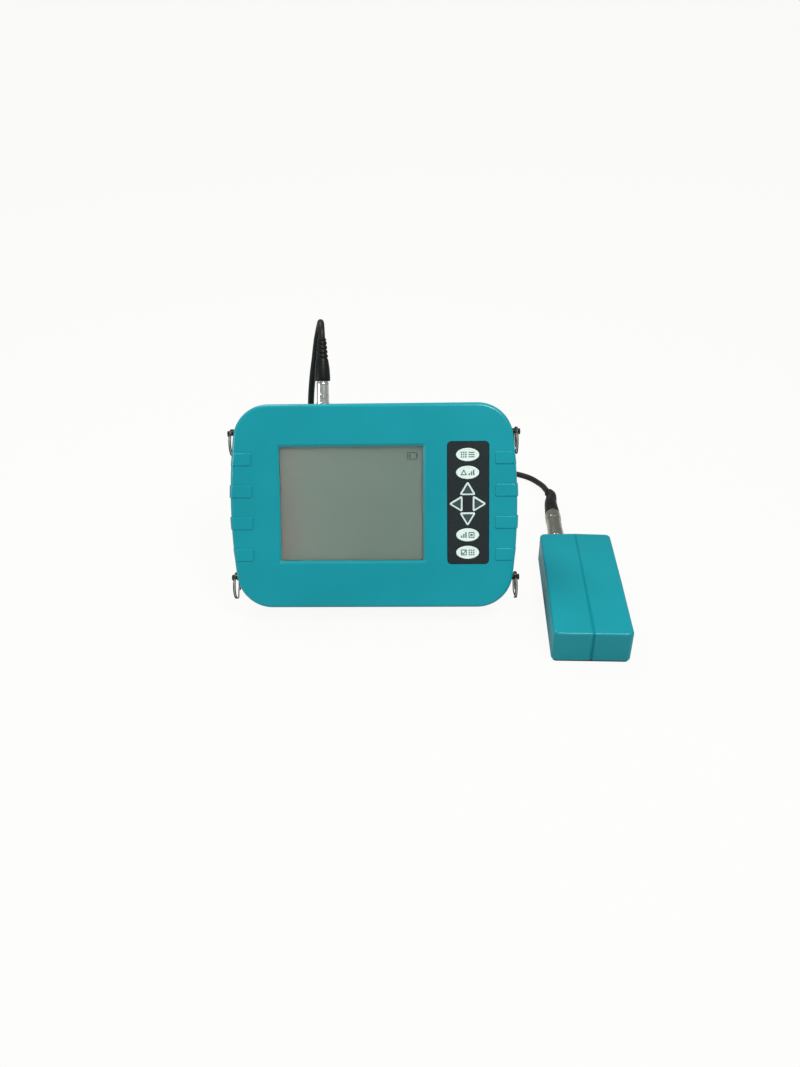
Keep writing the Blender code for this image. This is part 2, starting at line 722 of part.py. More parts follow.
def rear_shell(unit, material):
    """Rear casing: battery bay, stand pocket with its hinge groove, screw bosses and socket hole."""
    body = plate_mesh("rear_shell", [case_outline()], UNIT_BACK, -RIM_GAP)
    round_rim(body, UNIT_BACK, BACK_RADIUS, 4)
    lift = -min(
        vertex.co.y * math.cos(LEAN_BACK) + vertex.co.z * math.sin(LEAN_BACK) for vertex in body.vertices
    )
    shell = add_object("rear_shell", body, material, unit)
    cavity = plate_mesh("rear_cavity", [case_outline(WALL)], BACK_INSIDE, WALL)
    round_rim(cavity, BACK_INSIDE, BACK_RADIUS - WALL, 2)
    combine(shell, "DIFFERENCE", cavity, "rear_cavity")

    half_pocket = STAND_WIDTH / 2 + POCKET_MARGIN
    pocket_bottom = STAND_HINGE_Y - STAND_LENGTH - STAND_THICKNESS
    pocket_top = STAND_HINGE_Y + BARREL_RADIUS + 2 * POCKET_MARGIN
    pocket_floor = UNIT_BACK + STAND_THICKNESS + 2 * GAP + POCKET_MARGIN
    groove_floor = UNIT_BACK + STAND_HINGE_DEPTH + BARREL_RADIUS + POCKET_MARGIN
    root = UNIT_BACK + WALL / 2
    lug = PIN_OVERHANG + POCKET_WALL
    housing = [
        ((-half_pocket - POCKET_WALL, pocket_bottom - POCKET_WALL, root),
         (half_pocket + POCKET_WALL, pocket_top + POCKET_WALL, pocket_floor + POCKET_WALL)),
        ((-half_pocket - lug, STAND_HINGE_Y - BARREL_RADIUS - POCKET_WALL, root),
         (half_pocket + lug, pocket_top + POCKET_WALL / 2, groove_floor + POCKET_WALL)),
    ]
    combine(shell, "UNION", block_mesh("stand_housing", housing[:1]), "stand_housing")
    combine(shell, "UNION", block_mesh("hinge_housing", housing[1:]), "hinge_housing")

    ledge = plate_mesh(
        "battery_ledge",
        [rounded_rectangle(COVER_WIDTH + 2 * COVER_LEDGE / 2, COVER_HEIGHT + COVER_LEDGE / 2, COVER_CORNER,
                           (0.0, BATTERY_Y))],
        root, BACK_INSIDE + LEDGE_THICKNESS,
    )
    combine(shell, "UNION", ledge, "battery_ledge")
    bosses = []
    for x in (-SCREW_X, SCREW_X):
        for y in (-SCREW_Y, SCREW_Y):
            bosses.append((x, y, root, -RIM_GAP - root, SCREW_BOSS_RADIUS))
    combine(shell, "UNION", post_mesh("rear_bosses", bosses), "rear_bosses")
    posts = []
    for x in (-1, 1):
        for y in (-1, 1):
            place_x = MAIN_BOARD_X + x * (MAIN_BOARD_WIDTH / 2 - 2 * POST_RADIUS)
            place_y = MAIN_BOARD_Y + y * (MAIN_BOARD_HEIGHT / 2 - 2 * POST_RADIUS)
            posts.append((place_x, place_y, root, MAIN_BOARD_Z - GAP - root, POST_RADIUS))
    combine(shell, "UNION", post_mesh("board_posts", posts), "board_posts")

    outside = UNIT_BACK - WALL
    pockets = [
        ((-half_pocket, pocket_bottom, outside), (half_pocket, pocket_top, pocket_floor)),
    ]
    combine(shell, "DIFFERENCE", block_mesh("stand_pocket", pockets), "stand_pocket")
    groove = [
        ((-half_pocket, STAND_HINGE_Y - BARREL_RADIUS - POCKET_MARGIN, outside),
         (half_pocket, pocket_top - POCKET_MARGIN / 2, groove_floor)),
    ]
    combine(shell, "DIFFERENCE", block_mesh("hinge_groove", groove), "hinge_groove")
    pin_reach = half_pocket + PIN_OVERHANG
    hinge_z = UNIT_BACK + STAND_HINGE_DEPTH
    pin_hole = [(-pin_reach, STAND_HINGE_Y, hinge_z, 2 * pin_reach, PIN_RADIUS + HOLE_PLAY)]
    combine(shell, "DIFFERENCE", post_mesh("stand_pin_hole", pin_hole, "X"), "stand_pin_hole")

    battery_centre = (0.0, BATTERY_Y)
    cover_hole = plate_mesh(
        "battery_cover_seat",
        [rounded_rectangle(COVER_WIDTH + 2 * GAP, COVER_HEIGHT + 2 * GAP, COVER_CORNER, battery_centre)],
        outside, UNIT_BACK + COVER_THICKNESS + GAP,
    )
    combine(shell, "DIFFERENCE", cover_hole, "battery_cover_seat")
    bay = plate_mesh(
        "battery_bay",
        [rounded_rectangle(
            BATTERY_WIDTH + 2 * GAP, BATTERY_HEIGHT + 2 * GAP, BATTERY_CORNER, battery_centre,
        )],
        UNIT_BACK,
        0.0,
    )
    combine(shell, "DIFFERENCE", bay, "battery_bay")

    holes = []
    for x in (-SCREW_X, SCREW_X):
        for y in (-SCREW_Y, SCREW_Y):
            holes.append((x, y, outside, WALL + SCREW_SEAT_DEPTH, SCREW_HEAD_RADIUS + HOLE_PLAY))
            holes.append((x, y, outside, WALL + REAR_DEPTH + WALL, SCREW_RADIUS + HOLE_PLAY))
    combine(shell, "DIFFERENCE", post_mesh("rear_screw_holes", holes[0::2]), "rear_screw_heads")
    combine(shell, "DIFFERENCE", post_mesh("rear_screw_shanks", holes[1::2]), "rear_screw_shanks")
    cover_screws = []
    for x in cover_screw_places():
        depth = COVER_THICKNESS + LEDGE_THICKNESS * 3
        cover_screws.append((x, BATTERY_Y, UNIT_BACK, depth, SCREW_RADIUS + HOLE_PLAY))
    combine(shell, "DIFFERENCE", post_mesh("cover_screw_holes", cover_screws), "cover_screw_holes")
    socket = [(SOCKET_X, CASE_HEIGHT / 2 - 2 * WALL, SOCKET_Z, 3 * WALL, SOCKET_RADIUS + HOLE_PLAY)]
    combine(shell, "DIFFERENCE", post_mesh("socket_hole", socket, "Y", TURN_STEPS), "socket_hole")
    feet = []
    for side in (-1, 1):
        middle = (side * BACK_FOOT_X, BACK_FOOT_Y)
        feet.append(rounded_rectangle(BACK_FOOT_HEIGHT + 2 * GAP, BACK_FOOT_WIDTH + 2 * GAP, 0.003, middle))
    for index, outline in enumerate(feet):
        seat = plate_mesh("foot_seat", [outline], outside, UNIT_BACK + BACK_FOOT_SUNK)
        combine(shell, "DIFFERENCE", seat, f"foot_seat_{index + 1}")
    return lift


def cover_screw_places():
    reach = COVER_WIDTH / 2 - COVER_SCREW_INSET
    return (-reach, reach)


def case_seal(unit, material):
    loops = [case_outline(WALL + GAP), case_outline(WALL + GAP + SEAL_THICKNESS)]
    ring = plate_mesh("case_seal", loops, -SEAL_HALF_HEIGHT, SEAL_HALF_HEIGHT)
    add_object("case_seal", ring, material, unit)


def display(unit, lens_material, glass_material, frame_material, board_material):
    """Window lens, display glass, its metal frame and the driver board behind it."""
    centre = (WINDOW_X, WINDOW_Y)
    lens_high = FACE_INSIDE - GAP
    lens_low = lens_high - LENS_THICKNESS
    lens_size = (WINDOW_WIDTH + 2 * LENS_MARGIN, WINDOW_HEIGHT + 2 * LENS_MARGIN)
    lens = plate_mesh("window_lens", [rounded_rectangle(*lens_size, 0.002, centre)], lens_low, lens_high)
    add_object("window_lens", lens, lens_material, unit)

    frame_high = lens_low - GAP
    frame_low = frame_high - FRAME_DEPTH
    glass_margin = 2 * LENS_MARGIN
    glass_size = (WINDOW_WIDTH + glass_margin, WINDOW_HEIGHT + glass_margin)
    frame_size = (glass_size[0] + 2 * (FRAME_WALL + GAP), glass_size[1] + 2 * (FRAME_WALL + GAP))
    view_size = (WINDOW_WIDTH + glass_margin / 2, WINDOW_HEIGHT + glass_margin / 2)
    frame = plate_mesh(
        "display_frame",
        [rounded_rectangle(*frame_size, 0.002, centre), rounded_rectangle(*view_size, 0.001, centre)],
        frame_low, frame_high,
    )
    frame_object = add_object("display_frame", frame, frame_material, unit)
    hollow = plate_mesh(
        "display_frame_hollow",
        [rounded_rectangle(glass_size[0] + 2 * GAP, glass_size[1] + 2 * GAP, 0.001, centre)],
        frame_low - WALL, frame_high - FRAME_LIP,
    )
    combine(frame_object, "DIFFERENCE", hollow, "display_frame_hollow")

    glass_high = frame_high - FRAME_LIP - GAP
    glass_low = glass_high - GLASS_THICKNESS
    outline = rounded_rectangle(*glass_size, BOARD_CORNER, centre)
    glass = plate_mesh("display_glass", [outline], glass_low, glass_high)
    add_object("display_glass", glass, glass_material, unit)
    board_high = glass_low - GAP
    board = plate_mesh(
        "display_board", [outline], board_high - BOARD_THICKNESS, board_high
    )
    add_object("display_board", board, board_material, unit)


def key_outlines(grow):
    """Name, outline and centre of each key; grow sets the outline outwards."""
    keys = []
    for index, y in enumerate(OVAL_KEYS_Y):
        outline = oval(OVAL_WIDTH + 2 * grow, OVAL_HEIGHT + 2 * grow)
        keys.append((f"oval_key_{index + 1}", outline, (KEY_X, y)))
    arrows = (
        ("up_key", 0.0, (0.0, ARROW_REACH_Y)),
        ("left_key", math.pi / 2, (-ARROW_REACH_X, 0.0)),
        ("down_key", math.pi, (0.0, -ARROW_REACH_Y)),
        ("right_key", -math.pi / 2, (ARROW_REACH_X, 0.0)),
    )
    for name, turn, (x, y) in arrows:
        keys.append((name, arrow_outline(turn, grow), (KEY_X + x, ARROW_CROSS_Y + y)))
    return keys


def move_outline(outline, centre):
    return [(x + centre[0], y + centre[1]) for x, y in outline]


def keypad(unit, shell, panel_material, key_material, arrow_material, board_material):
    """Sunk panel, eight keys that travel through it, and their board on posts of the front shell."""
    panel_high = UNIT_FRONT - PANEL_SUNK
    panel_low = panel_high - PANEL_THICKNESS
    loops = [rounded_rectangle(PANEL_WIDTH, PANEL_HEIGHT, PANEL_CORNER, (PANEL_X, PANEL_Y))]
    for name, outline, centre in key_outlines(HOLE_PLAY):
        loops.append(move_outline(outline, centre))
    panel = plate_mesh("keypad_panel", loops, panel_low, panel_high)
    add_object("keypad_panel", panel, panel_material, unit)

    flange_high = panel_low - GAP
    flange_low = flange_high - KEY_FLANGE_THICKNESS
    flanges = {name: outline for name, outline, centre in key_outlines(KEY_FLANGE)}
    for name, outline, centre in key_outlines(0.0):
        top = panel_high + KEY_PROUD - flange_low
        cap = plate_mesh(name, [outline], KEY_FLANGE_THICKNESS / 2, top)
        round_rim(cap, top, KEY_ROUND, 2)
        material = key_material if name.startswith("oval") else arrow_material
        key = add_object(name, cap, material, unit)
        key.location = (*centre, flange_low)
        flange = plate_mesh(f"{name}_flange", [flanges[name]], 0.0, KEY_FLANGE_THICKNESS)
        combine(key, "UNION", flange, f"{name}_flange")

    board_width = PANEL_WIDTH + 2 * KEY_BOARD_MARGIN
    board_height = PANEL_HEIGHT - 2 * PANEL_LEDGE
    switch_high = flange_low - KEY_TRAVEL - GAP
    board_high = switch_high - SWITCH_HEIGHT
    board = plate_mesh(
        "key_board",
        [rounded_rectangle(board_width, board_height, BOARD_CORNER, (PANEL_X, PANEL_Y))],
        board_high - BOARD_THICKNESS,
        board_high,
    )
    board_object = add_object("key_board", board, board_material, unit)
    reach = PANEL_WIDTH / 2 + KEY_BOARD_MARGIN / 2
    post_height = FACE_INSIDE + WALL / 2 - board_high - GAP
    posts = []
    for x in (PANEL_X - reach, PANEL_X + reach):
        for y in (PANEL_Y - KEY_BOARD_POST_Y, PANEL_Y + KEY_BOARD_POST_Y):
            posts.append((x, y, board_high + GAP, post_height, KEY_BOARD_MARGIN / 3))
    combine(shell, "UNION", post_mesh("key_board_posts", posts), "key_board_posts")
    switches = []
    for name, outline, (x, y) in key_outlines(0.0):
        low = board_high - BOARD_THICKNESS / 2
        switches.append((x, y, low, switch_high - low, SWITCH_RADIUS))
    combine(board_object, "UNION", post_mesh("key_switches", switches), "key_switches")


def inner_parts(unit, board_material, battery_material, cover_material, screw_material):
    """Main board, battery pack, battery cover and the screws of the case."""
    left = MAIN_BOARD_X - MAIN_BOARD_WIDTH / 2
    bottom = MAIN_BOARD_Y - MAIN_BOARD_HEIGHT / 2
    top = MAIN_BOARD_Z + BOARD_THICKNESS
    board = block_mesh(
        "main_board",
        [((left, bottom, MAIN_BOARD_Z), (left + MAIN_BOARD_WIDTH, bottom + MAIN_BOARD_HEIGHT, top))],
    )
    board_object = add_object("main_board", board, board_material, unit)
    chips = []
    for across, along, width, depth, height in BOARD_CHIPS:
        x = left + MAIN_BOARD_WIDTH * across
        y = bottom + MAIN_BOARD_HEIGHT * along
        chips.append(((x, y, top - GAP), (x + width, y + depth, top + height)))
    combine(board_object, "UNION", block_mesh("board_chips", chips), "board_chips")

    pack_low = UNIT_BACK + COVER_THICKNESS + GAP
    pack_high = MAIN_BOARD_Z - 3 * GAP
    pack = plate_mesh(
        "battery_pack",
        [rounded_rectangle(BATTERY_WIDTH, BATTERY_HEIGHT, BATTERY_CORNER, (0.0, BATTERY_Y))],
        pack_low,
        pack_high,
    )
    add_object("battery_pack", pack, battery_material, unit)
    holes = [oval(2 * (SCREW_RADIUS + HOLE_PLAY), 2 * (SCREW_RADIUS + HOLE_PLAY), (x, BATTERY_Y), 12)
             for x in cover_screw_places()]
    outline = rounded_rectangle(COVER_WIDTH, COVER_HEIGHT, COVER_CORNER, (0.0, BATTERY_Y))
    cover = plate_mesh("battery_cover", [outline] + holes, UNIT_BACK, UNIT_BACK + COVER_THICKNESS)
    add_object("battery_cover", cover, cover_material, unit)
    for index, x in enumerate(cover_screw_places()):
        screw = screw_mesh(f"cover_screw_{index + 1}", COVER_THICKNESS + LEDGE_THICKNESS + WALL / 2, 0.0012)
        screw_object = add_object(f"cover_screw_{index + 1}", screw, screw_material, unit)
        screw_object.location = (x, BATTERY_Y, UNIT_BACK - GAP)
    number = 0
    for x in (-SCREW_X, SCREW_X):
        for y in (-SCREW_Y, SCREW_Y):
            number += 1
            screw = screw_mesh(f"case_screw_{number}", SCREW_LENGTH, SCREW_HEAD)
            screw_object = add_object(f"case_screw_{number}", screw, screw_material, unit)
            screw_object.location = (x, y, UNIT_BACK + SCREW_SEAT_DEPTH - GAP)


def screw_mesh(name, length, head):
    """Pan-head screw along +Z, with the underside of its head at the origin."""
    profile = [
        (0.0, length), (SCREW_RADIUS, length - SCREW_RADIUS), (SCREW_RADIUS, 0.0),
        (SCREW_HEAD_RADIUS, 0.0), (SCREW_HEAD_RADIUS, -head * 0.5), (SCREW_HEAD_RADIUS * 0.75, -head),
        (0.0, -head),
    ]
    return turned_mesh(name, profile, SMALL_STEPS)


def strap_stud_profile():
    """Spool-shaped stud along +Z: shank, flange, neck and flared head; z 0 is its seat."""
    neck = STUD_FLANGE
    head = STUD_FLANGE + STUD_NECK
    top = head + STUD_HEAD
    return [
        (0.0, top), (STUD_HEAD_RADIUS * 0.85, top), (STUD_HEAD_RADIUS, top - STUD_HEAD * 0.2),
        (STUD_HEAD_RADIUS, head + STUD_HEAD * 0.25), (STUD_NECK_RADIUS, head),
        (STUD_NECK_RADIUS, neck), (STUD_FLANGE_RADIUS * 0.92, neck),
        (STUD_FLANGE_RADIUS, neck - STUD_FLANGE * 0.15), (STUD_FLANGE_RADIUS, 0.0),
        (STUD_SHANK_RADIUS, 0.0), (STUD_SHANK_RADIUS, -STUD_SHANK), (0.0, -STUD_SHANK),
    ]


def split_ring_mesh(name):
    """Split ring round the X axis of its stud, hanging along -Y, with two turns of wire side by side."""
    drop = RING_MEAN_RADIUS - RING_WIRE_RADIUS - STUD_NECK_RADIUS - GAP
    start = 30
    crossing = 360 - start
    stop = 720 - start
    step = 22
    points = []
    angle = start
    while angle <= stop:
        share = min(1.0, max(0.0, (angle - crossing) / (2 * start)))
        offset = RING_COIL_OFFSET * (2 * share * share * (3 - 2 * share) - 1)
        turn = math.radians(angle - 90)
        points.append((offset, -drop + RING_MEAN_RADIUS * math.sin(turn), RING_MEAN_RADIUS * math.cos(turn)))
        angle += step
    return tube_mesh(name, points, RING_WIRE_RADIUS, sides=1)


def strap_points(unit, stud_material, ring_material):
    """Four studs on the sides of the case, each with a split ring hanging from its neck."""
    stud_profile = strap_stud_profile()
    ring_x = STUD_SEAT_X + GAP + STUD_FLANGE + STUD_NECK / 2
    for side, side_name in ((-1, "left"), (1, "right")):
        for level, level_name in ((1, "upper"), (-1, "lower")):
            stud = add_object(
                f"strap_stud_{level_name}_{side_name}",
                turned_mesh("strap_stud", stud_profile, STUD_STEPS),
                stud_material,
                unit,
            )
            stud.location = (side * (STUD_SEAT_X + GAP), level * STUD_Y, STUD_Z)
            stud.rotation_euler = (0, side * math.pi / 2, 0)
            ring = add_object(
                f"split_ring_{level_name}_{side_name}", split_ring_mesh("split_ring"), ring_material, unit
            )
            ring.location = (side * ring_x, level * STUD_Y, STUD_Z)
            ring.rotation_euler = (LEAN_BACK, 0, 0)


def tilt_stand(unit, stand_material, rubber_material, pin_material, lift):
    """Fold-out stand on a pin across the back; its foot reaches the surface when it is open."""
    hinge_z = UNIT_BACK + STAND_HINGE_DEPTH
    outer = UNIT_BACK + GAP - hinge_z
    inner = outer + STAND_THICKNESS
    foot_radius = STAND_THICKNESS / 2
    foot_z = (outer + inner) / 2
    foot_reach = math.hypot(STAND_LENGTH, foot_z)
    hinge_height = lift + STAND_HINGE_Y * math.cos(LEAN_BACK) + hinge_z * math.sin(LEAN_BACK)
    foot_angle = math.atan2(-foot_z, STAND_LENGTH)
    opening = LEAN_BACK - foot_angle + math.acos((hinge_height - foot_radius) / foot_reach)

    pivot = bpy.data.objects.new("stand_pivot", None)
    PARTS.objects.link(pivot)
    pivot.parent = unit
    pivot.location = (0.0, STAND_HINGE_Y, hinge_z)
    pivot.rotation_euler = (opening, 0, 0)

    end = STAND_LENGTH - foot_radius
    middle = (0.0, (STAND_PLATE_START - end) / 2)
    inner_length = end - STAND_TOP_BAR - STAND_FOOT_BAR
    inner_middle = (0.0, -STAND_TOP_BAR - inner_length / 2)
    loops = [
        rounded_rectangle(STAND_WIDTH, end + STAND_PLATE_START, STAND_CORNER / 5, middle),
        rounded_rectangle(STAND_WIDTH - 2 * STAND_LEG_WIDTH, inner_length, STAND_CORNER, inner_middle),
    ]
    leg = plate_mesh("stand", loops, outer, inner)
    stand = add_object("stand", leg, stand_material, pivot)
    barrel = [(-STAND_WIDTH / 2, 0.0, 0.0, STAND_WIDTH, BARREL_RADIUS)]
    combine(stand, "UNION", post_mesh("stand_barrel", barrel, "X", TURN_STEPS), "stand_barrel")
    bore = [(-STAND_WIDTH, 0.0, 0.0, 2 * STAND_WIDTH, PIN_RADIUS + HOLE_PLAY)]
    combine(stand, "DIFFERENCE", post_mesh("stand_bore", bore, "X"), "stand_bore")

    strip = arc(0.0, 0.0, foot_radius, -math.pi / 2, math.pi / 2, 8)
    strip = [(-foot_radius + GAP, foot_radius), (-foot_radius + GAP, -foot_radius)] + strip
    foot = plate_mesh("stand_foot", [strip], -FOOT_STRIP_WIDTH / 2, FOOT_STRIP_WIDTH / 2)
    upright = Euler((math.pi / 2, 0, math.pi / 2)).to_matrix().to_4x4()
    half_turn = Matrix.Rotation(math.pi, 4, "Z")
    foot.transform(Matrix.Translation((0, -STAND_LENGTH, foot_z)) @ upright @ half_turn)
    add_object("stand_foot", foot, rubber_material, pivot)

    reach = STAND_WIDTH / 2 + POCKET_MARGIN + PIN_OVERHANG - GAP
    pin = post_mesh("stand_pin", [(-reach, STAND_HINGE_Y, hinge_z, 2 * reach, PIN_RADIUS)], "X")
    pin.shade_smooth()
    pin.set_sharp_from_angle(angle=math.radians(50))
    add_object("stand_pin", pin, pin_material, unit)


def back_feet(unit, material):
    for side, name in ((-1, "left"), (1, "right")):
        outline = rounded_rectangle(
            BACK_FOOT_HEIGHT, BACK_FOOT_WIDTH, 0.003, (side * BACK_FOOT_X, BACK_FOOT_Y)
        )
        low = UNIT_BACK - BACK_FOOT_PROUD
        foot = plate_mesh(f"back_foot_{name}", [outline], low, UNIT_BACK + BACK_FOOT_SUNK - GAP)
        round_rim(foot, low, BACK_FOOT_PROUD / 2, 2)
        add_object(f"back_foot_{name}", foot, material, unit)


def meter_connector(unit, metal, dark_metal, rubber):
    """Round socket in the top wall, its nut, and the plug with its boot."""
    top = CASE_HEIGHT / 2
    turn = (-math.pi / 2, 0, 0)
    collar = SOCKET_FLANGE + SOCKET_COLLAR
    bore_floor = collar - PLUG_NOSE - 2 * GAP
    profile = [
        (SOCKET_BORE_RADIUS, collar), (SOCKET_COLLAR_RADIUS, collar), (SOCKET_COLLAR_RADIUS, SOCKET_FLANGE),
        (SOCKET_FLANGE_RADIUS, SOCKET_FLANGE), (SOCKET_FLANGE_RADIUS, 0.0), (SOCKET_RADIUS, 0.0),
        (SOCKET_RADIUS, -SOCKET_INSIDE), (0.0, -SOCKET_INSIDE),
    ]
    outer = profile[1:]
    socket_profile = [(0.0, bore_floor), (SOCKET_BORE_RADIUS, bore_floor), profile[0]] + outer
    socket = add_object("meter_socket", turned_mesh("meter_socket", socket_profile), metal, unit)
    socket.location = (SOCKET_X, top + GAP, SOCKET_Z)
    socket.rotation_euler = turn
    nut_loops = [
        oval(2 * NUT_RADIUS, 2 * NUT_RADIUS, steps=6),
        oval(2 * (SOCKET_RADIUS + HOLE_PLAY), 2 * (SOCKET_RADIUS + HOLE_PLAY), steps=16),
    ]
    nut_mesh = plate_mesh("socket_nut", nut_loops, -NUT_THICKNESS, 0.0)
    nut = add_object("socket_nut", nut_mesh, dark_metal, unit)
    nut.location = (SOCKET_X, top - WALL - GAP, SOCKET_Z)
    nut.rotation_euler = turn

    body_low = collar + GAP
    body_high = body_low + PLUG_LENGTH
    rim_radius = PLUG_RADIUS * 0.92
    plug_profile = [(0.0, body_high), (rim_radius, body_high), (rim_radius, body_high - 0.0012)]
    grip_low = body_low + PLUG_LENGTH * 0.30
    grip_high = body_low + PLUG_LENGTH * 0.86
    plug_profile += [(PLUG_RADIUS, body_high - 0.0016), (PLUG_RADIUS, grip_high)]
    plug_profile += [(PLUG_RADIUS * 0.93, grip_high - 0.0004), (PLUG_RADIUS * 0.93, grip_low + 0.0004)]
    plug_profile += [(PLUG_RADIUS, grip_low), (PLUG_RADIUS, body_low + 0.0006)]
    plug_profile += [(PLUG_RADIUS * 0.95, body_low)]
    nose_low = body_low - PLUG_NOSE
    plug_profile += [(PLUG_NOSE_RADIUS, body_low), (PLUG_NOSE_RADIUS, nose_low), (0.0, nose_low)]
    plug = add_object("meter_plug", turned_mesh("meter_plug", plug_profile), metal, unit)
    plug.location = (SOCKET_X, top + GAP, SOCKET_Z)
    plug.rotation_euler = turn

    boot_low = body_high + GAP
    profile = ribbed_boot_profile(boot_low, BOOT_LENGTH, BOOT_BASE_RADIUS, BOOT_TIP_RADIUS)
    boot = add_object("meter_boot", turned_mesh("meter_boot", profile, SMALL_STEPS + 2), rubber, unit)
    boot.location = (SOCKET_X, top + GAP, SOCKET_Z)
    boot.rotation_euler = turn


def ribbed_boot_profile(low, length, base, tip):
    """Tapered boot with a plain lower half and ring grooves towards its tip."""
    ribs = 5
    high = low + length
    profile = [(0.0, high), (tip * 0.85, high), (tip, high - 0.0008)]
    for rib in range(ribs):
        share = (rib + 0.6) / (2 * ribs)
        radius = tip + (base - tip) * share
        place = high - length * share
        profile += [(radius, place + 0.0008), (radius * 0.84, place + 0.0004)]
        profile += [(radius * 0.84, place - 0.0006), (radius * 1.01, place - 0.0010)]
    profile += [(base * 0.94, low + length * 0.35), (base, low + length * 0.12), (base, low + 0.0006)]
    profile += [(base * 0.94, low), (0.0, low)]
    return profile


# Probe

def probe_block(length, width, low, high):
    """Block with rounded upright edges, whose top slopes away behind an arrow-shaped crease."""
    mesh = plate_mesh("probe_housing", [rounded_rectangle(width, length, PROBE_EDGE_RADIUS)], low, high)
    mesh.transform(Matrix.Translation((0, length / 2, 0)))
    shape = bmesh.new()
    shape.from_mesh(mesh)
    for side in (-1, 1):
        apex = Vector((0.0, PROBE_RIDGE_START, high))
        arm = Vector((side * width / 2, PROBE_ARM_START, high)) - apex
        fall = Vector((0.0, length - PROBE_RIDGE_START, -PROBE_REAR_DROP))
        normal = arm.cross(fall)
        if normal.z < 0:
            normal = -normal
        cut = bmesh.ops.bisect_plane(
            shape, geom=shape.verts[:] + shape.edges[:] + shape.faces[:], dist=1e-7,
            plane_co=apex, plane_no=normal.normalized(), clear_outer=True,
        )
        edges = [item for item in cut["geom_cut"] if isinstance(item, bmesh.types.BMEdge)]
        bmesh.ops.contextual_create(shape, geom=edges)
    bmesh.ops.recalc_face_normals(shape, faces=shape.faces)
    rim = []
    for edge in shape.edges:
        slopes = sorted(abs(face.normal.z) for face in edge.link_faces)
        upper = min(vertex.co.z for vertex in edge.verts) > (low + high) / 2
        if upper and len(slopes) == 2 and slopes[0] < 0.3 and slopes[1] > 0.8:
            rim.append(edge)
    bmesh.ops.bevel(
        shape, geom=rim, offset=PROBE_TOP_RADIUS, segments=2, profile=0.5, affect="EDGES",
        offset_type="OFFSET", clamp_overlap=True, material=-1,
    )
    shape.to_mesh(mesh)
    shape.free()
    return mesh


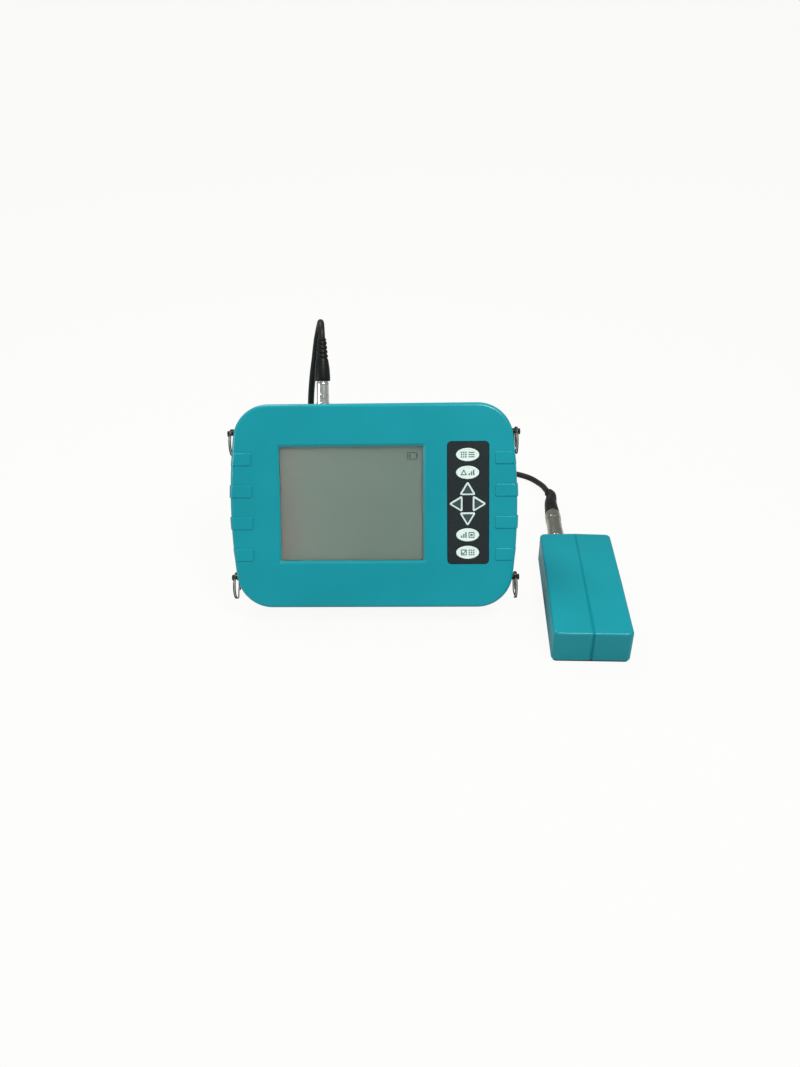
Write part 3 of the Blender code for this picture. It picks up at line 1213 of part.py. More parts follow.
def probe(frame, teal, sole_material, metal, board_material, former_material, copper, screw_material):
    """Probe: a grooved housing over a search coil, closed by a wear sole."""
    low = SOLE_THICKNESS + GAP
    housing = add_object(
        "probe_housing", probe_block(PROBE_LENGTH, PROBE_WIDTH, low, PROBE_HEIGHT), teal, frame
    )
    inner_width = PROBE_WIDTH - 2 * PROBE_WALL
    inner_length = PROBE_LENGTH - 2 * PROBE_WALL
    inner_top = PROBE_HEIGHT - PROBE_REAR_DROP - PROBE_WALL
    middle = (0.0, PROBE_LENGTH / 2)
    cavity = plate_mesh(
        "probe_cavity", [rounded_rectangle(inner_width, inner_length, 0.002, middle)], 0.0, inner_top
    )
    combine(housing, "DIFFERENCE", cavity, "probe_cavity")

    screw_places = []
    for x in (-1, 1):
        for y in (PROBE_SCREW_INSET, PROBE_LENGTH - PROBE_SCREW_INSET):
            screw_places.append((x * (PROBE_WIDTH / 2 - PROBE_SCREW_INSET), y))
    bosses = [(x, y, low, inner_top + PROBE_WALL / 2 - low, PROBE_BOSS_RADIUS) for x, y in screw_places]
    combine(housing, "UNION", post_mesh("probe_bosses", bosses), "probe_bosses")
    bore_depth = PROBE_SCREW_LENGTH + SOLE_THICKNESS
    bores = [(x, y, 0.0, bore_depth, SCREW_RADIUS + HOLE_PLAY) for x, y in screw_places]
    combine(housing, "DIFFERENCE", post_mesh("probe_bores", bores), "probe_bores")

    path = [
        (0.0, 0.0, low - GROOVE_DEPTH),
        (0.0, 0.0, PROBE_HEIGHT),
        (0.0, PROBE_RIDGE_START, PROBE_HEIGHT),
        (0.0, PROBE_LENGTH, PROBE_HEIGHT - PROBE_REAR_DROP),
        (0.0, PROBE_LENGTH, low - GROOVE_DEPTH),
    ]
    groove = tube_mesh("probe_groove", path, GROOVE_DEPTH, sides=0)
    combine(housing, "DIFFERENCE", groove, "probe_groove")
    hole = [(PROBE_SOCKET_X, PROBE_LENGTH - 2 * PROBE_WALL, PROBE_SOCKET_Z, 3 * PROBE_WALL,
             PROBE_PLUG_RADIUS * 0.7 + HOLE_PLAY)]
    hole_mesh = post_mesh("probe_socket_hole", hole, "Y", TURN_STEPS)
    combine(housing, "DIFFERENCE", hole_mesh, "probe_socket_hole")

    sole_outline = rounded_rectangle(
        PROBE_WIDTH - 2 * SOLE_INSET, PROBE_LENGTH - 2 * SOLE_INSET, PROBE_EDGE_RADIUS - SOLE_INSET, middle
    )
    sole_mesh = plate_mesh("probe_sole", [sole_outline], 0.0, SOLE_THICKNESS)
    sole = add_object("probe_sole", sole_mesh, sole_material, frame)
    head_depth = PROBE_SCREW_HEAD + GAP
    seat_depth = SOLE_THICKNESS + head_depth
    seat_radius = SCREW_HEAD_RADIUS + HOLE_PLAY
    heads = [(x, y, -SOLE_THICKNESS, seat_depth, seat_radius) for x, y in screw_places]
    combine(sole, "DIFFERENCE", post_mesh("sole_head_holes", heads), "sole_head_holes")
    shanks = [(x, y, -SOLE_THICKNESS, 3 * SOLE_THICKNESS, SCREW_RADIUS + HOLE_PLAY) for x, y in screw_places]
    combine(sole, "DIFFERENCE", post_mesh("sole_shank_holes", shanks), "sole_shank_holes")
    for number, (x, y) in enumerate(screw_places):
        name = f"probe_screw_{number + 1}"
        thread = screw_mesh(name, PROBE_SCREW_LENGTH, PROBE_SCREW_HEAD)
        screw = add_object(name, thread, screw_material, frame)
        screw.location = (x, y, PROBE_SCREW_HEAD + GAP / 2)

    former_low = SOLE_THICKNESS + GAP
    former_loops = [rounded_rectangle(FORMER_WIDTH, FORMER_LENGTH, 0.006, middle)]
    former = plate_mesh("coil_former", former_loops, former_low, former_low + FORMER_HEIGHT)
    add_object("coil_former", former, former_material, frame)
    grown = 2 * (GAP + WINDING_THICKNESS)
    winding_loops = [
        rounded_rectangle(FORMER_WIDTH + grown, FORMER_LENGTH + grown, 0.010, middle),
        rounded_rectangle(FORMER_WIDTH + 2 * GAP, FORMER_LENGTH + 2 * GAP, 0.006, middle),
    ]
    winding = plate_mesh("search_coil", winding_loops, former_low, former_low + FORMER_HEIGHT)
    round_rim(winding, former_low + FORMER_HEIGHT, 0.0015, 2)
    add_object("search_coil", winding, copper, frame)
    board_low = former_low + FORMER_HEIGHT + GAP
    board = plate_mesh(
        "probe_board", [rounded_rectangle(PROBE_BOARD_WIDTH, PROBE_BOARD_LENGTH, 0.002, middle)],
        board_low, board_low + BOARD_THICKNESS,
    )
    add_object("probe_board", board, board_material, frame)

    turn = (-math.pi / 2, 0, 0)
    collar_radius = PROBE_PLUG_RADIUS * 0.92
    bore_radius = PROBE_PLUG_RADIUS * 0.62
    nose_radius = bore_radius - HOLE_PLAY
    inside = -PROBE_WALL - 0.003
    socket_profile = [
        (0.0, -PROBE_WALL), (bore_radius, -PROBE_WALL), (bore_radius, PROBE_SOCKET_COLLAR),
        (collar_radius, PROBE_SOCKET_COLLAR), (collar_radius, 0.002), (PROBE_SOCKET_FLANGE_RADIUS, 0.002),
        (PROBE_SOCKET_FLANGE_RADIUS, 0.0), (PROBE_PLUG_RADIUS * 0.7, 0.0), (PROBE_PLUG_RADIUS * 0.7, inside),
        (0.0, inside),
    ]
    socket = add_object("probe_socket", turned_mesh("probe_socket", socket_profile), metal, frame)
    place = (PROBE_SOCKET_X, PROBE_LENGTH + GAP, PROBE_SOCKET_Z)
    socket.location = place
    socket.rotation_euler = turn

    start = PROBE_SOCKET_COLLAR + GAP
    end = start + PROBE_PLUG_LENGTH
    radius = PROBE_PLUG_RADIUS
    plug_profile = [(0.0, end), (radius * 0.90, end), (radius * 0.90, end - 0.002), (radius, end - 0.003)]
    plug_profile += [(radius, end - 0.012), (radius * 0.94, end - 0.013), (radius * 0.94, start + 0.012)]
    plug_profile += [(radius, start + 0.011), (radius, start + 0.001), (radius * 0.94, start)]
    nose_end = -PROBE_WALL + 2 * GAP
    plug_profile += [(nose_radius, start), (nose_radius, nose_end), (0.0, nose_end)]
    plug = add_object("probe_plug", turned_mesh("probe_plug", plug_profile), metal, frame)
    plug.location = place
    plug.rotation_euler = turn


# Cable

def meter_boot_end(lift):
    """Middle of the meter boot's tip, and the way that the cable leaves it."""
    along = CASE_HEIGHT / 2 + SOCKET_FLANGE + SOCKET_COLLAR + PLUG_LENGTH + BOOT_LENGTH + 3 * GAP
    place = Vector((SOCKET_X, along, SOCKET_Z))
    turn = Euler((math.pi / 2 - LEAN_BACK, 0, 0)).to_matrix()
    return turn @ place + Vector((UNIT_X, UNIT_Y, lift)), turn @ Vector((0, 1, 0))


def probe_plug_end():
    """Middle of the probe plug's rear face, and the way that the boot leaves it."""
    along = PROBE_LENGTH + PROBE_SOCKET_COLLAR + PROBE_PLUG_LENGTH + 2 * GAP
    turn = Euler((0, 0, PROBE_YAW)).to_matrix()
    place = turn @ Vector((PROBE_SOCKET_X, along, PROBE_SOCKET_Z)) + Vector((PROBE_X, PROBE_Y, 0.0))
    return place, turn @ Vector((0, 1, 0))


def cable(cable_material, boot_material, tie_material, lift):
    """Probe cable: a drop behind the unit, a neat tied coil, the lead to the probe and its boot."""
    spacing = 2.2 * 2 * CABLE_RADIUS
    coil_reach = COIL_MEAN_RADIUS + COIL_TURNS_WIDE * CABLE_RADIUS + GAP + CABLE_RADIUS
    low_turn = COIL_LOW + CABLE_RADIUS
    start, way = meter_boot_end(lift)
    drop_route = [start + way * GAP, *DROP_ROUTE, (COIL_X - coil_reach, COIL_Y - CABLE_RADIUS, low_turn)]
    drop = tube_mesh("cable_drop", smooth_route(drop_route, spacing), CABLE_RADIUS)
    add_object("cable_drop", drop, cable_material)
    boot_end = Vector(PROBE_BOOT_END)
    last = Vector(LEAD_ROUTE[-1])
    lead_end = boot_end + (last - boot_end).normalized() * GAP
    lead_route = [(COIL_X, COIL_Y + coil_reach, low_turn), *LEAD_ROUTE, lead_end]
    lead = tube_mesh("cable_lead", smooth_route(lead_route, spacing), CABLE_RADIUS)
    add_object("cable_lead", lead, cable_material)

    half_width = COIL_TURNS_WIDE * CABLE_RADIUS
    height = COIL_TURNS_HIGH * 2 * CABLE_RADIUS
    inner = COIL_MEAN_RADIUS - half_width
    outer = COIL_MEAN_RADIUS + half_width
    round_off = CABLE_RADIUS * 0.6
    top = COIL_LOW + height
    profile = [
        (inner + round_off, top), (outer - round_off, top), (outer, top - round_off),
        (outer, COIL_LOW + round_off), (outer - round_off, COIL_LOW), (inner + round_off, COIL_LOW),
        (inner, COIL_LOW + round_off), (inner, top - round_off), (inner + round_off, top),
    ]
    coil = add_object("cable_coil", turned_mesh("cable_coil", profile, 2 * TURN_STEPS), cable_material)
    coil.location = (COIL_X, COIL_Y, 0.0)

    tie_width = 2 * (half_width + TIE_CLEARANCE)
    tie_height = height + 2 * GAP
    tie_loops = [
        rounded_rectangle(tie_width + 2 * TIE_THICKNESS, tie_height + 2 * TIE_THICKNESS, 0.002),
        rounded_rectangle(tie_width, tie_height, 0.002 - TIE_THICKNESS),
    ]
    tie = plate_mesh("coil_tie", tie_loops, -TIE_WIDTH / 2, TIE_WIDTH / 2)
    tie.transform(Matrix.Rotation(math.pi / 2, 4, "X"))
    tie_object = add_object("coil_tie", tie, tie_material)
    tie_object.location = (
        COIL_X + COIL_MEAN_RADIUS * math.cos(TIE_ANGLE), COIL_Y + COIL_MEAN_RADIUS * math.sin(TIE_ANGLE),
        COIL_LOW + height / 2,
    )
    tie_object.rotation_euler = (0, 0, TIE_ANGLE)

    plug_end, way = probe_plug_end()
    reach = (boot_end - plug_end).length
    boot_route = [boot_end, boot_end.lerp(last, -1.0), plug_end + way * reach * 0.4, plug_end + way * GAP]
    route = smooth_route(boot_route, 0.0028)
    radii = []
    for index in range(len(route)):
        share = index / (len(route) - 1)
        radius = PROBE_BOOT_TIP_RADIUS + (PROBE_PLUG_RADIUS * 0.95 - PROBE_BOOT_TIP_RADIUS) * share
        ribbed = index % 2 == 1 and share < 0.55
        radii.append(radius / PROBE_PLUG_RADIUS * (0.86 if ribbed else 1.0))
    boot = tube_mesh("probe_boot", route, PROBE_PLUG_RADIUS, radii, sides=4)
    add_object("probe_boot", boot, boot_material)


def build():
    teal = make_material("teal_plastic", TEAL, 0.42)
    black_rubber = make_material("black_rubber", BLACK, 0.7)
    black_plastic = make_material("black_plastic", BLACK, 0.35)
    panel = make_material("keypad_film", DARK_GREY, 0.45)
    pale_key = make_material("pale_key", (0.68, 0.82, 0.78), 0.4)
    arrow_key = make_material("arrow_key", (0.45, 0.60, 0.58), 0.4)
    steel = make_material("bright_steel", STEEL, 0.25, 1.0)
    ring_steel = make_material("ring_steel", (0.30, 0.32, 0.31), 0.35, 1.0)
    lens = make_material("clear_lens", (0.80, 0.86, 0.84), 0.05)
    liquid_crystal = make_material("display_grey_green", (0.17, 0.21, 0.18), 0.25)
    board = make_material("circuit_board", BOARD_GREEN, 0.5)
    battery = make_material("battery_wrap", (0.05, 0.08, 0.20), 0.4)
    copper = make_material("copper_winding", (0.75, 0.32, 0.15), 0.35, 1.0)
    former = make_material("former_plastic", (0.70, 0.68, 0.60), 0.5)
    cable_jacket = make_material("cable_jacket", BLACK, 0.5)

    unit = bpy.data.objects.new("display_unit", None)
    PARTS.objects.link(unit)
    front = front_shell(unit, teal)
    lift = rear_shell(unit, teal)
    unit.location = (UNIT_X, UNIT_Y, lift)
    unit.rotation_euler = (math.pi / 2 - LEAN_BACK, 0, 0)
    case_seal(unit, black_rubber)
    display(unit, lens, liquid_crystal, steel, board)
    keypad(unit, front, panel, pale_key, arrow_key, board)
    inner_parts(unit, board, battery, teal, steel)
    strap_points(unit, black_plastic, ring_steel)
    tilt_stand(unit, teal, black_rubber, steel, lift)
    back_feet(unit, black_rubber)
    meter_connector(unit, steel, steel, black_rubber)

    probe_frame = bpy.data.objects.new("probe_frame", None)
    PARTS.objects.link(probe_frame)
    probe_frame.location = (PROBE_X, PROBE_Y, 0.0)
    probe_frame.rotation_euler = (0, 0, PROBE_YAW)
    probe(probe_frame, teal, black_plastic, steel, board, former, copper, steel)
    cable(cable_jacket, black_rubber, black_rubber, lift)


build()
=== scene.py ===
import math

import bmesh
import bpy
from mathutils import Matrix, Vector


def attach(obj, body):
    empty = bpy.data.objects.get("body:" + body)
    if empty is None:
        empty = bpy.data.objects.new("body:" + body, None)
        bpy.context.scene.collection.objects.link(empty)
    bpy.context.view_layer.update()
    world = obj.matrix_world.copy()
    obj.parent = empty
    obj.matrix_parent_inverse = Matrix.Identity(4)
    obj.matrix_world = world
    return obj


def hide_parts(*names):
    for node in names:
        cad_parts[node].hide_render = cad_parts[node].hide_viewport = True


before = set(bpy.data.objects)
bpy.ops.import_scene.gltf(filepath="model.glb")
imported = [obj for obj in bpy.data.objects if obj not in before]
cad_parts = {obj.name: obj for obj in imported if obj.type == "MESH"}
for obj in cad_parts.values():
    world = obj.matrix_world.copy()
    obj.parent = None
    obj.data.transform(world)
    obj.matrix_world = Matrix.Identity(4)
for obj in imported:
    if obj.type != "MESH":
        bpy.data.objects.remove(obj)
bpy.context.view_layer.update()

# Places of the display unit, its stand and the probe, in metres
UNIT_X = -0.0427
UNIT_Y = 0.0228
UNIT_LIFT = 0.084586
LEAN_BACK = math.radians(29)
PROBE_X = 0.1340
PROBE_Y = -0.0827
PROBE_YAW = math.radians(-1.4)

QUARTER = math.pi / 2
UNIT_PLACE = (
    Matrix.Translation((UNIT_X, UNIT_Y, UNIT_LIFT)) @ Matrix.Rotation(QUARTER - LEAN_BACK, 4, "X")
)
STAND_PLACE = Matrix.Translation((UNIT_X, 0.049639, 0.092576)) @ Matrix.Rotation(1.8603, 4, "X")
PROBE_PLACE = Matrix.Translation((PROBE_X, PROBE_Y, 0.0)) @ Matrix.Rotation(PROBE_YAW, 4, "Z")

# Case sizes, measured from the middle of the case
CASE_HALF_WIDTH = 0.120
CASE_HALF_HEIGHT = 0.0855
CORNER_RADIUS = 0.030
SIDE_RADIUS = 0.480
FACE_HIGH = 0.022
BACK_LOW = -0.024
WALL = 0.0025
RIM_RADIUS = 0.0032
SMALL_RIM = 0.00035

# Room between neighbouring pieces, the cable's thickness, and the distance at which points merge
GAP = 0.0003
CABLE_RADIUS = 0.0029
SAME_POINT = 1e-6


# Camera, at the viewing angle of the photograph

CAMERA_PLACE = Vector((0.0046, -0.6018, 0.5039))
CAMERA_AHEAD = Vector((-0.0422, 0.9991, 0.0))
CAMERA_DIP = math.radians(35.75)
CAMERA_ROLL = math.radians(-1.73)
FOCAL_LENGTH = 29.61


def aim_camera():
    dip, roll = CAMERA_DIP, CAMERA_ROLL
    ahead = CAMERA_AHEAD.normalized()
    forward = ahead * math.cos(dip) - Vector((0.0, 0.0, math.sin(dip)))
    level = ahead.cross(Vector((0.0, 0.0, 1.0))).normalized()
    upright = level.cross(forward).normalized()
    right = level * math.cos(roll) + upright * math.sin(roll)
    up = upright * math.cos(roll) - level * math.sin(roll)
    turn = Matrix((right, up, -forward)).transposed().to_4x4()
    lens = bpy.data.cameras.new("bench_camera")
    lens.lens = FOCAL_LENGTH
    lens.sensor_width = 36.0
    lens.clip_start = 0.01
    lens.clip_end = 50.0
    camera = bpy.data.objects.new("bench_camera", lens)
    camera.matrix_world = Matrix.Translation(CAMERA_PLACE) @ turn
    bpy.context.scene.collection.objects.link(camera)
    bpy.context.scene.camera = camera


aim_camera()


# Node groups shared by the materials

def new_group(name, inputs, outputs):
    tree = bpy.data.node_groups.new(name, "ShaderNodeTree")
    for label, kind, value in inputs:
        socket = tree.interface.new_socket(label, in_out="INPUT", socket_type=kind)
        if value is not None:
            socket.default_value = value
    for label, kind in outputs:
        tree.interface.new_socket(label, in_out="OUTPUT", socket_type=kind)
    return tree, tree.nodes.new("NodeGroupInput"), tree.nodes.new("NodeGroupOutput")


def wire(tree, start, end):
    tree.links.new(start, end)


def noise(tree, vector, scale, detail=3.0, roughness=0.5):
    node = tree.nodes.new("ShaderNodeTexNoise")
    node.inputs["Detail"].default_value = detail
    node.inputs["Roughness"].default_value = roughness
    if isinstance(scale, float):
        node.inputs["Scale"].default_value = scale
    else:
        wire(tree, scale, node.inputs["Scale"])
    wire(tree, vector, node.inputs["Vector"])
    return node.outputs["Fac"]


def spread(tree, value, low, high, to_low, to_high):
    """Value taken from one range to another, and held at its ends."""
    node = tree.nodes.new("ShaderNodeMapRange")
    wire(tree, value, node.inputs["Value"])
    limits = {"From Min": low, "From Max": high, "To Min": to_low, "To Max": to_high}
    for label, number in limits.items():
        if isinstance(number, float):
            node.inputs[label].default_value = number
        else:
            wire(tree, number, node.inputs[label])
    return node.outputs["Result"]


def blend_colours(tree, share, first, second, kind="MIX"):
    node = tree.nodes.new("ShaderNodeMix")
    node.data_type = "RGBA"
    node.blend_type = kind
    share_socket, first_socket, second_socket = (node.inputs[number] for number in (0, 6, 7))
    for socket, value in ((share_socket, share), (first_socket, first), (second_socket, second)):
        if isinstance(value, (float, tuple)):
            socket.default_value = value
        else:
            wire(tree, value, socket)
    return node.outputs[2]


def arithmetic(tree, operation, first, second):
    node = tree.nodes.new("ShaderNodeMath")
    node.operation = operation
    for socket, value in zip(node.inputs, (first, second)):
        if isinstance(value, float):
            socket.default_value = value
        else:
            wire(tree, value, socket)
    return node.outputs[0]


def seen_directly(tree):
    """One where the camera sees a surface itself or through clear pieces, and nought elsewhere."""
    path = tree.nodes.new("ShaderNodeLightPath")
    return arithmetic(
        tree, "MAXIMUM", path.outputs["Is Camera Ray"], path.outputs["Is Transmission Ray"]
    )


def mix_shaders(tree, share, first, second, output):
    mixed = tree.nodes.new("ShaderNodeMixShader")
    for socket, value in zip(mixed.inputs, (share, first, second)):
        wire(tree, value, socket)
    wire(tree, mixed.outputs["Shader"], tree.nodes[output].inputs["Surface"])


COLOUR = "NodeSocketColor"
NUMBER = "NodeSocketFloat"
VECTOR = "NodeSocketVector"
MID_GREY = (0.5, 0.5, 0.5, 1.0)
NOISE_LOW = 0.3
NOISE_HIGH = 0.7


def noise_spread(tree, value, low, high):
    """The usual range of a noise taken to the given one."""
    return spread(tree, value, NOISE_LOW, NOISE_HIGH, low, high)


def moulded_group():
    """Moulded plastic: faint clouding, a fine spark grain, and rubbed and dusty patches."""
    tree, start, end = new_group(
        "moulded_plastic",
        (("Vector", VECTOR, None), ("Colour", COLOUR, MID_GREY), ("Dust Colour", COLOUR, MID_GREY),
         ("Roughness", NUMBER, 0.4), ("Grain Scale", NUMBER, 1800.0), ("Dust", NUMBER, 0.06)),
        (("Colour", COLOUR), ("Roughness", NUMBER), ("Height", NUMBER)),
    )
    vector = start.outputs["Vector"]
    clouds = noise(tree, vector, 14.0, 2.0)
    specks = noise(tree, vector, 420.0, 4.0, 0.65)
    grain = noise(tree, vector, start.outputs["Grain Scale"], 2.0)
    shade = noise_spread(tree, clouds, 0.94, 1.05)
    shaded = blend_colours(tree, 1.0, start.outputs["Colour"], shade, "MULTIPLY")
    dust = spread(tree, specks, 0.45, 0.75, 0.0, start.outputs["Dust"])
    dusty = blend_colours(tree, dust, shaded, start.outputs["Dust Colour"])
    wire(tree, dusty, end.inputs["Colour"])
    rub = noise_spread(tree, clouds, -0.05, 0.06)
    fine = noise_spread(tree, grain, -0.03, 0.03)
    rough = arithmetic(tree, "ADD", start.outputs["Roughness"], arithmetic(tree, "ADD", rub, fine))
    wire(tree, rough, end.inputs["Roughness"])
    wire(tree, grain, end.inputs["Height"])
    return tree


def metal_group():
    """Turned or drawn metal: fine streaks along one axis, faint tarnish and finger marks."""
    tree, start, end = new_group(
        "worked_metal",
        (("Vector", VECTOR, None), ("Colour", COLOUR, MID_GREY),
         ("Tarnish Colour", COLOUR, (0.3, 0.3, 0.3, 1.0)), ("Roughness", NUMBER, 0.3)),
        (("Colour", COLOUR), ("Roughness", NUMBER), ("Height", NUMBER)),
    )
    vector = start.outputs["Vector"]
    stretch = tree.nodes.new("ShaderNodeMapping")
    stretch.inputs["Scale"].default_value = (120.0, 1600.0, 1600.0)
    wire(tree, vector, stretch.inputs["Vector"])
    streaks = noise(tree, stretch.outputs["Vector"], 1.0, 2.0)
    marks = noise(tree, vector, 90.0, 3.0)
    share = spread(tree, marks, 0.42, 0.72, 0.0, 0.55)
    tinted = blend_colours(tree, share, start.outputs["Colour"], start.outputs["Tarnish Colour"])
    wire(tree, tinted, end.inputs["Colour"])
    marked = noise_spread(tree, marks, -0.05, 0.14)
    rough = arithmetic(tree, "ADD", start.outputs["Roughness"], marked)
    wire(tree, rough, end.inputs["Roughness"])
    wire(tree, streaks, end.inputs["Height"])
    return tree


MOULDED = moulded_group()
WORKED = metal_group()


def new_material(name):
    material = bpy.data.materials.new(name)
    material.use_nodes = True
    tree = material.node_tree
    return material, tree, tree.nodes["Principled BSDF"]


def object_place(tree):
    return tree.nodes.new("ShaderNodeTexCoord").outputs["Object"]


def bump(tree, shader, height, strength, distance):
    node = tree.nodes.new("ShaderNodeBump")
    node.inputs["Strength"].default_value = strength
    node.inputs["Distance"].default_value = distance
    wire(tree, height, node.inputs["Height"])
    wire(tree, node.outputs["Normal"], shader.inputs["Normal"])


def grouped_material(name, shared, colour, roughness, strength, depth):
    """Material whose colour, roughness and fine relief come from one of the shared groups."""
    material, tree, shader = new_material(name)
    group = tree.nodes.new("ShaderNodeGroup")
    group.node_tree = shared
    wire(tree, object_place(tree), group.inputs["Vector"])
    group.inputs["Colour"].default_value = (*colour, 1.0)
    group.inputs["Roughness"].default_value = roughness
    wire(tree, group.outputs["Colour"], shader.inputs["Base Color"])
    wire(tree, group.outputs["Roughness"], shader.inputs["Roughness"])
    bump(tree, shader, group.outputs["Height"], strength, depth)
    return material, group, shader


def plastic(name, colour, roughness, grain, dust, relief, specular=0.5, coat=0.0):
    material, group, shader = grouped_material(name, MOULDED, colour, roughness, relief, 0.00006)
    group.inputs["Dust Colour"].default_value = (*[0.6 * part + 0.30 for part in colour], 1.0)
    group.inputs["Grain Scale"].default_value = grain
    group.inputs["Dust"].default_value = dust
    shader.inputs["Specular IOR Level"].default_value = specular
    shader.inputs["Coat Weight"].default_value = coat
    shader.inputs["Coat Roughness"].default_value = 0.2
    return material


def metal(name, colour, tarnish, roughness):
    material, group, shader = grouped_material(name, WORKED, colour, roughness, 0.15, 0.00005)
    group.inputs["Tarnish Colour"].default_value = (*tarnish, 1.0)
    shader.inputs["Metallic"].default_value = 1.0
    return material


def clear_window(name):
    material, tree, shader = new_material(name)
    marks = noise(tree, object_place(tree), 60.0, 3.0)
    wire(tree, noise_spread(tree, marks, 0.08, 0.16), shader.inputs["Roughness"])
    shader.inputs["Base Color"].default_value = (0.93, 0.96, 0.94, 1.0)
    shader.inputs["Transmission Weight"].default_value = 1.0
    shader.inputs["IOR"].default_value = 1.49
    return material


def liquid_crystal(name):
    """Grey-green display with fine flecks. Its lighter left and darker right are painted light and
    shade, and its brownish lower left edge is a painted reflection.
    """
    material, tree, shader = new_material(name)
    place = object_place(tree)
    parts = tree.nodes.new("ShaderNodeSeparateXYZ")
    wire(tree, place, parts.inputs["Vector"])
    across = spread(tree, parts.outputs["X"], UNIT_X - 0.078, UNIT_X + 0.042, 0.0, 1.0)
    clouds = noise(tree, place, 22.0, 1.0)
    share = arithmetic(tree, "ADD", across, noise_spread(tree, clouds, -0.12, 0.12))
    # Painted light and shade: the display is lighter on the left and darker on the right. The warm
    # tint is a painted reflection, strongest at the lower left edge.
    painted_lit_tint = (0.200, 0.252, 0.215, 1.0)
    painted_shaded_tint = (0.143, 0.210, 0.175, 1.0)
    painted_reflection_tint = (0.235, 0.215, 0.185, 1.0)
    tint = blend_colours(tree, share, painted_lit_tint, painted_shaded_tint)
    edge = arithmetic(tree, "ADD", across, noise_spread(tree, clouds, -0.05, 0.05))
    downwards = spread(tree, parts.outputs["Z"], 0.06, 0.13, 1.0, 0.3)
    painted_reflection_share = arithmetic(tree, "MULTIPLY", spread(tree, edge, 0.02, 0.16, 1.0, 0.0), downwards)
    tint = blend_colours(tree, painted_reflection_share, tint, painted_reflection_tint)
    cells = tree.nodes.new("ShaderNodeTexVoronoi")
    cells.inputs["Scale"].default_value = 2600.0
    wire(tree, place, cells.inputs["Vector"])
    fleck = spread(tree, cells.outputs["Distance"], 0.0, 0.8, 0.96, 1.03)
    wire(tree, blend_colours(tree, 1.0, tint, fleck, "MULTIPLY"), shader.inputs["Base Color"])
    wire(tree, noise_spread(tree, clouds, 0.28, 0.40), shader.inputs["Roughness"])
    return material


# Each plastic: name, colour, roughness, scale of the grain, share of dust, strength of the relief,
# and where it isn't the plain one, its gloss and its clear coat
TEAL = plastic(
    "teal_case_plastic", (0.0028, 0.275, 0.328), 0.38, 1500.0, 0.010, 0.22, specular=0.16, coat=0.28
)
# The probe's teal is a darker copy of the case's teal: painted shade that offsets the stronger lamp
# light on the probe's top.
TEAL_PROBE_SHADED = plastic(
    "teal_probe_plastic_painted_shade", (0.0028, 0.246, 0.288), 0.42, 1300.0, 0.012, 0.28,
    specular=0.12, coat=0.22,
)
BLACK_PLASTIC = plastic(
    "black_stud_plastic", (0.006, 0.007, 0.008), 0.32, 2200.0, 0.02, 0.12, specular=0.16
)
BLACK_RUBBER = plastic(
    "black_boot_rubber", (0.008, 0.009, 0.009), 0.40, 1600.0, 0.02, 0.25, specular=0.14
)
CABLE_JACKET = plastic(
    "black_cable_jacket", (0.013, 0.015, 0.014), 0.40, 1400.0, 0.02, 0.20, specular=0.16
)
KEYPAD_FILM = plastic(
    "keypad_film", (0.013, 0.020, 0.022), 0.45, 2600.0, 0.018, 0.15, specular=0.22
)
SOLE_PLASTIC = plastic("black_sole_plastic", (0.014, 0.015, 0.016), 0.50, 900.0, 0.07, 0.40)
PALE_KEY = plastic("pale_key_plastic", (0.70, 0.84, 0.78), 0.38, 2400.0, 0.02, 0.10)
ARROW_RIM = plastic("arrow_key_rim", (0.64, 0.76, 0.72), 0.40, 2400.0, 0.02, 0.10)
ARROW_FILL = plastic("arrow_key_fill", (0.028, 0.058, 0.058), 0.38, 2400.0, 0.03, 0.10)
KEY_PRINT = plastic("key_print", (0.110, 0.160, 0.150), 0.50, 2400.0, 0.03, 0.08)
DISPLAY_INK = plastic("display_segment", (0.030, 0.040, 0.038), 0.45, 2400.0, 0.0, 0.05)
DARK_FRAME = plastic("display_frame_paint", (0.030, 0.033, 0.033), 0.40, 2000.0, 0.04, 0.12)
BOARD = plastic("circuit_board", (0.015, 0.12, 0.05), 0.45, 900.0, 0.03, 0.2)
BATTERY_WRAP = plastic("battery_wrap", (0.04, 0.07, 0.18), 0.30, 900.0, 0.03, 0.1)
FORMER = plastic("former_plastic", (0.62, 0.60, 0.52), 0.50, 900.0, 0.03, 0.2)

# Each metal: name, colour, colour of its tarnish and roughness
STEEL = metal("nickelled_steel", (0.88, 0.87, 0.83), (0.55, 0.54, 0.50), 0.16)
BRONZED = metal("bronzed_plug_metal", (0.40, 0.41, 0.34), (0.22, 0.23, 0.19), 0.20)
RING_STEEL = metal("ring_steel", (0.110, 0.115, 0.095), (0.045, 0.048, 0.042), 0.34)
COPPER = metal("copper_winding", (0.80, 0.38, 0.20), (0.35, 0.17, 0.09), 0.34)

LENS = clear_window("window_lens")
CRYSTAL = liquid_crystal("display_crystal")

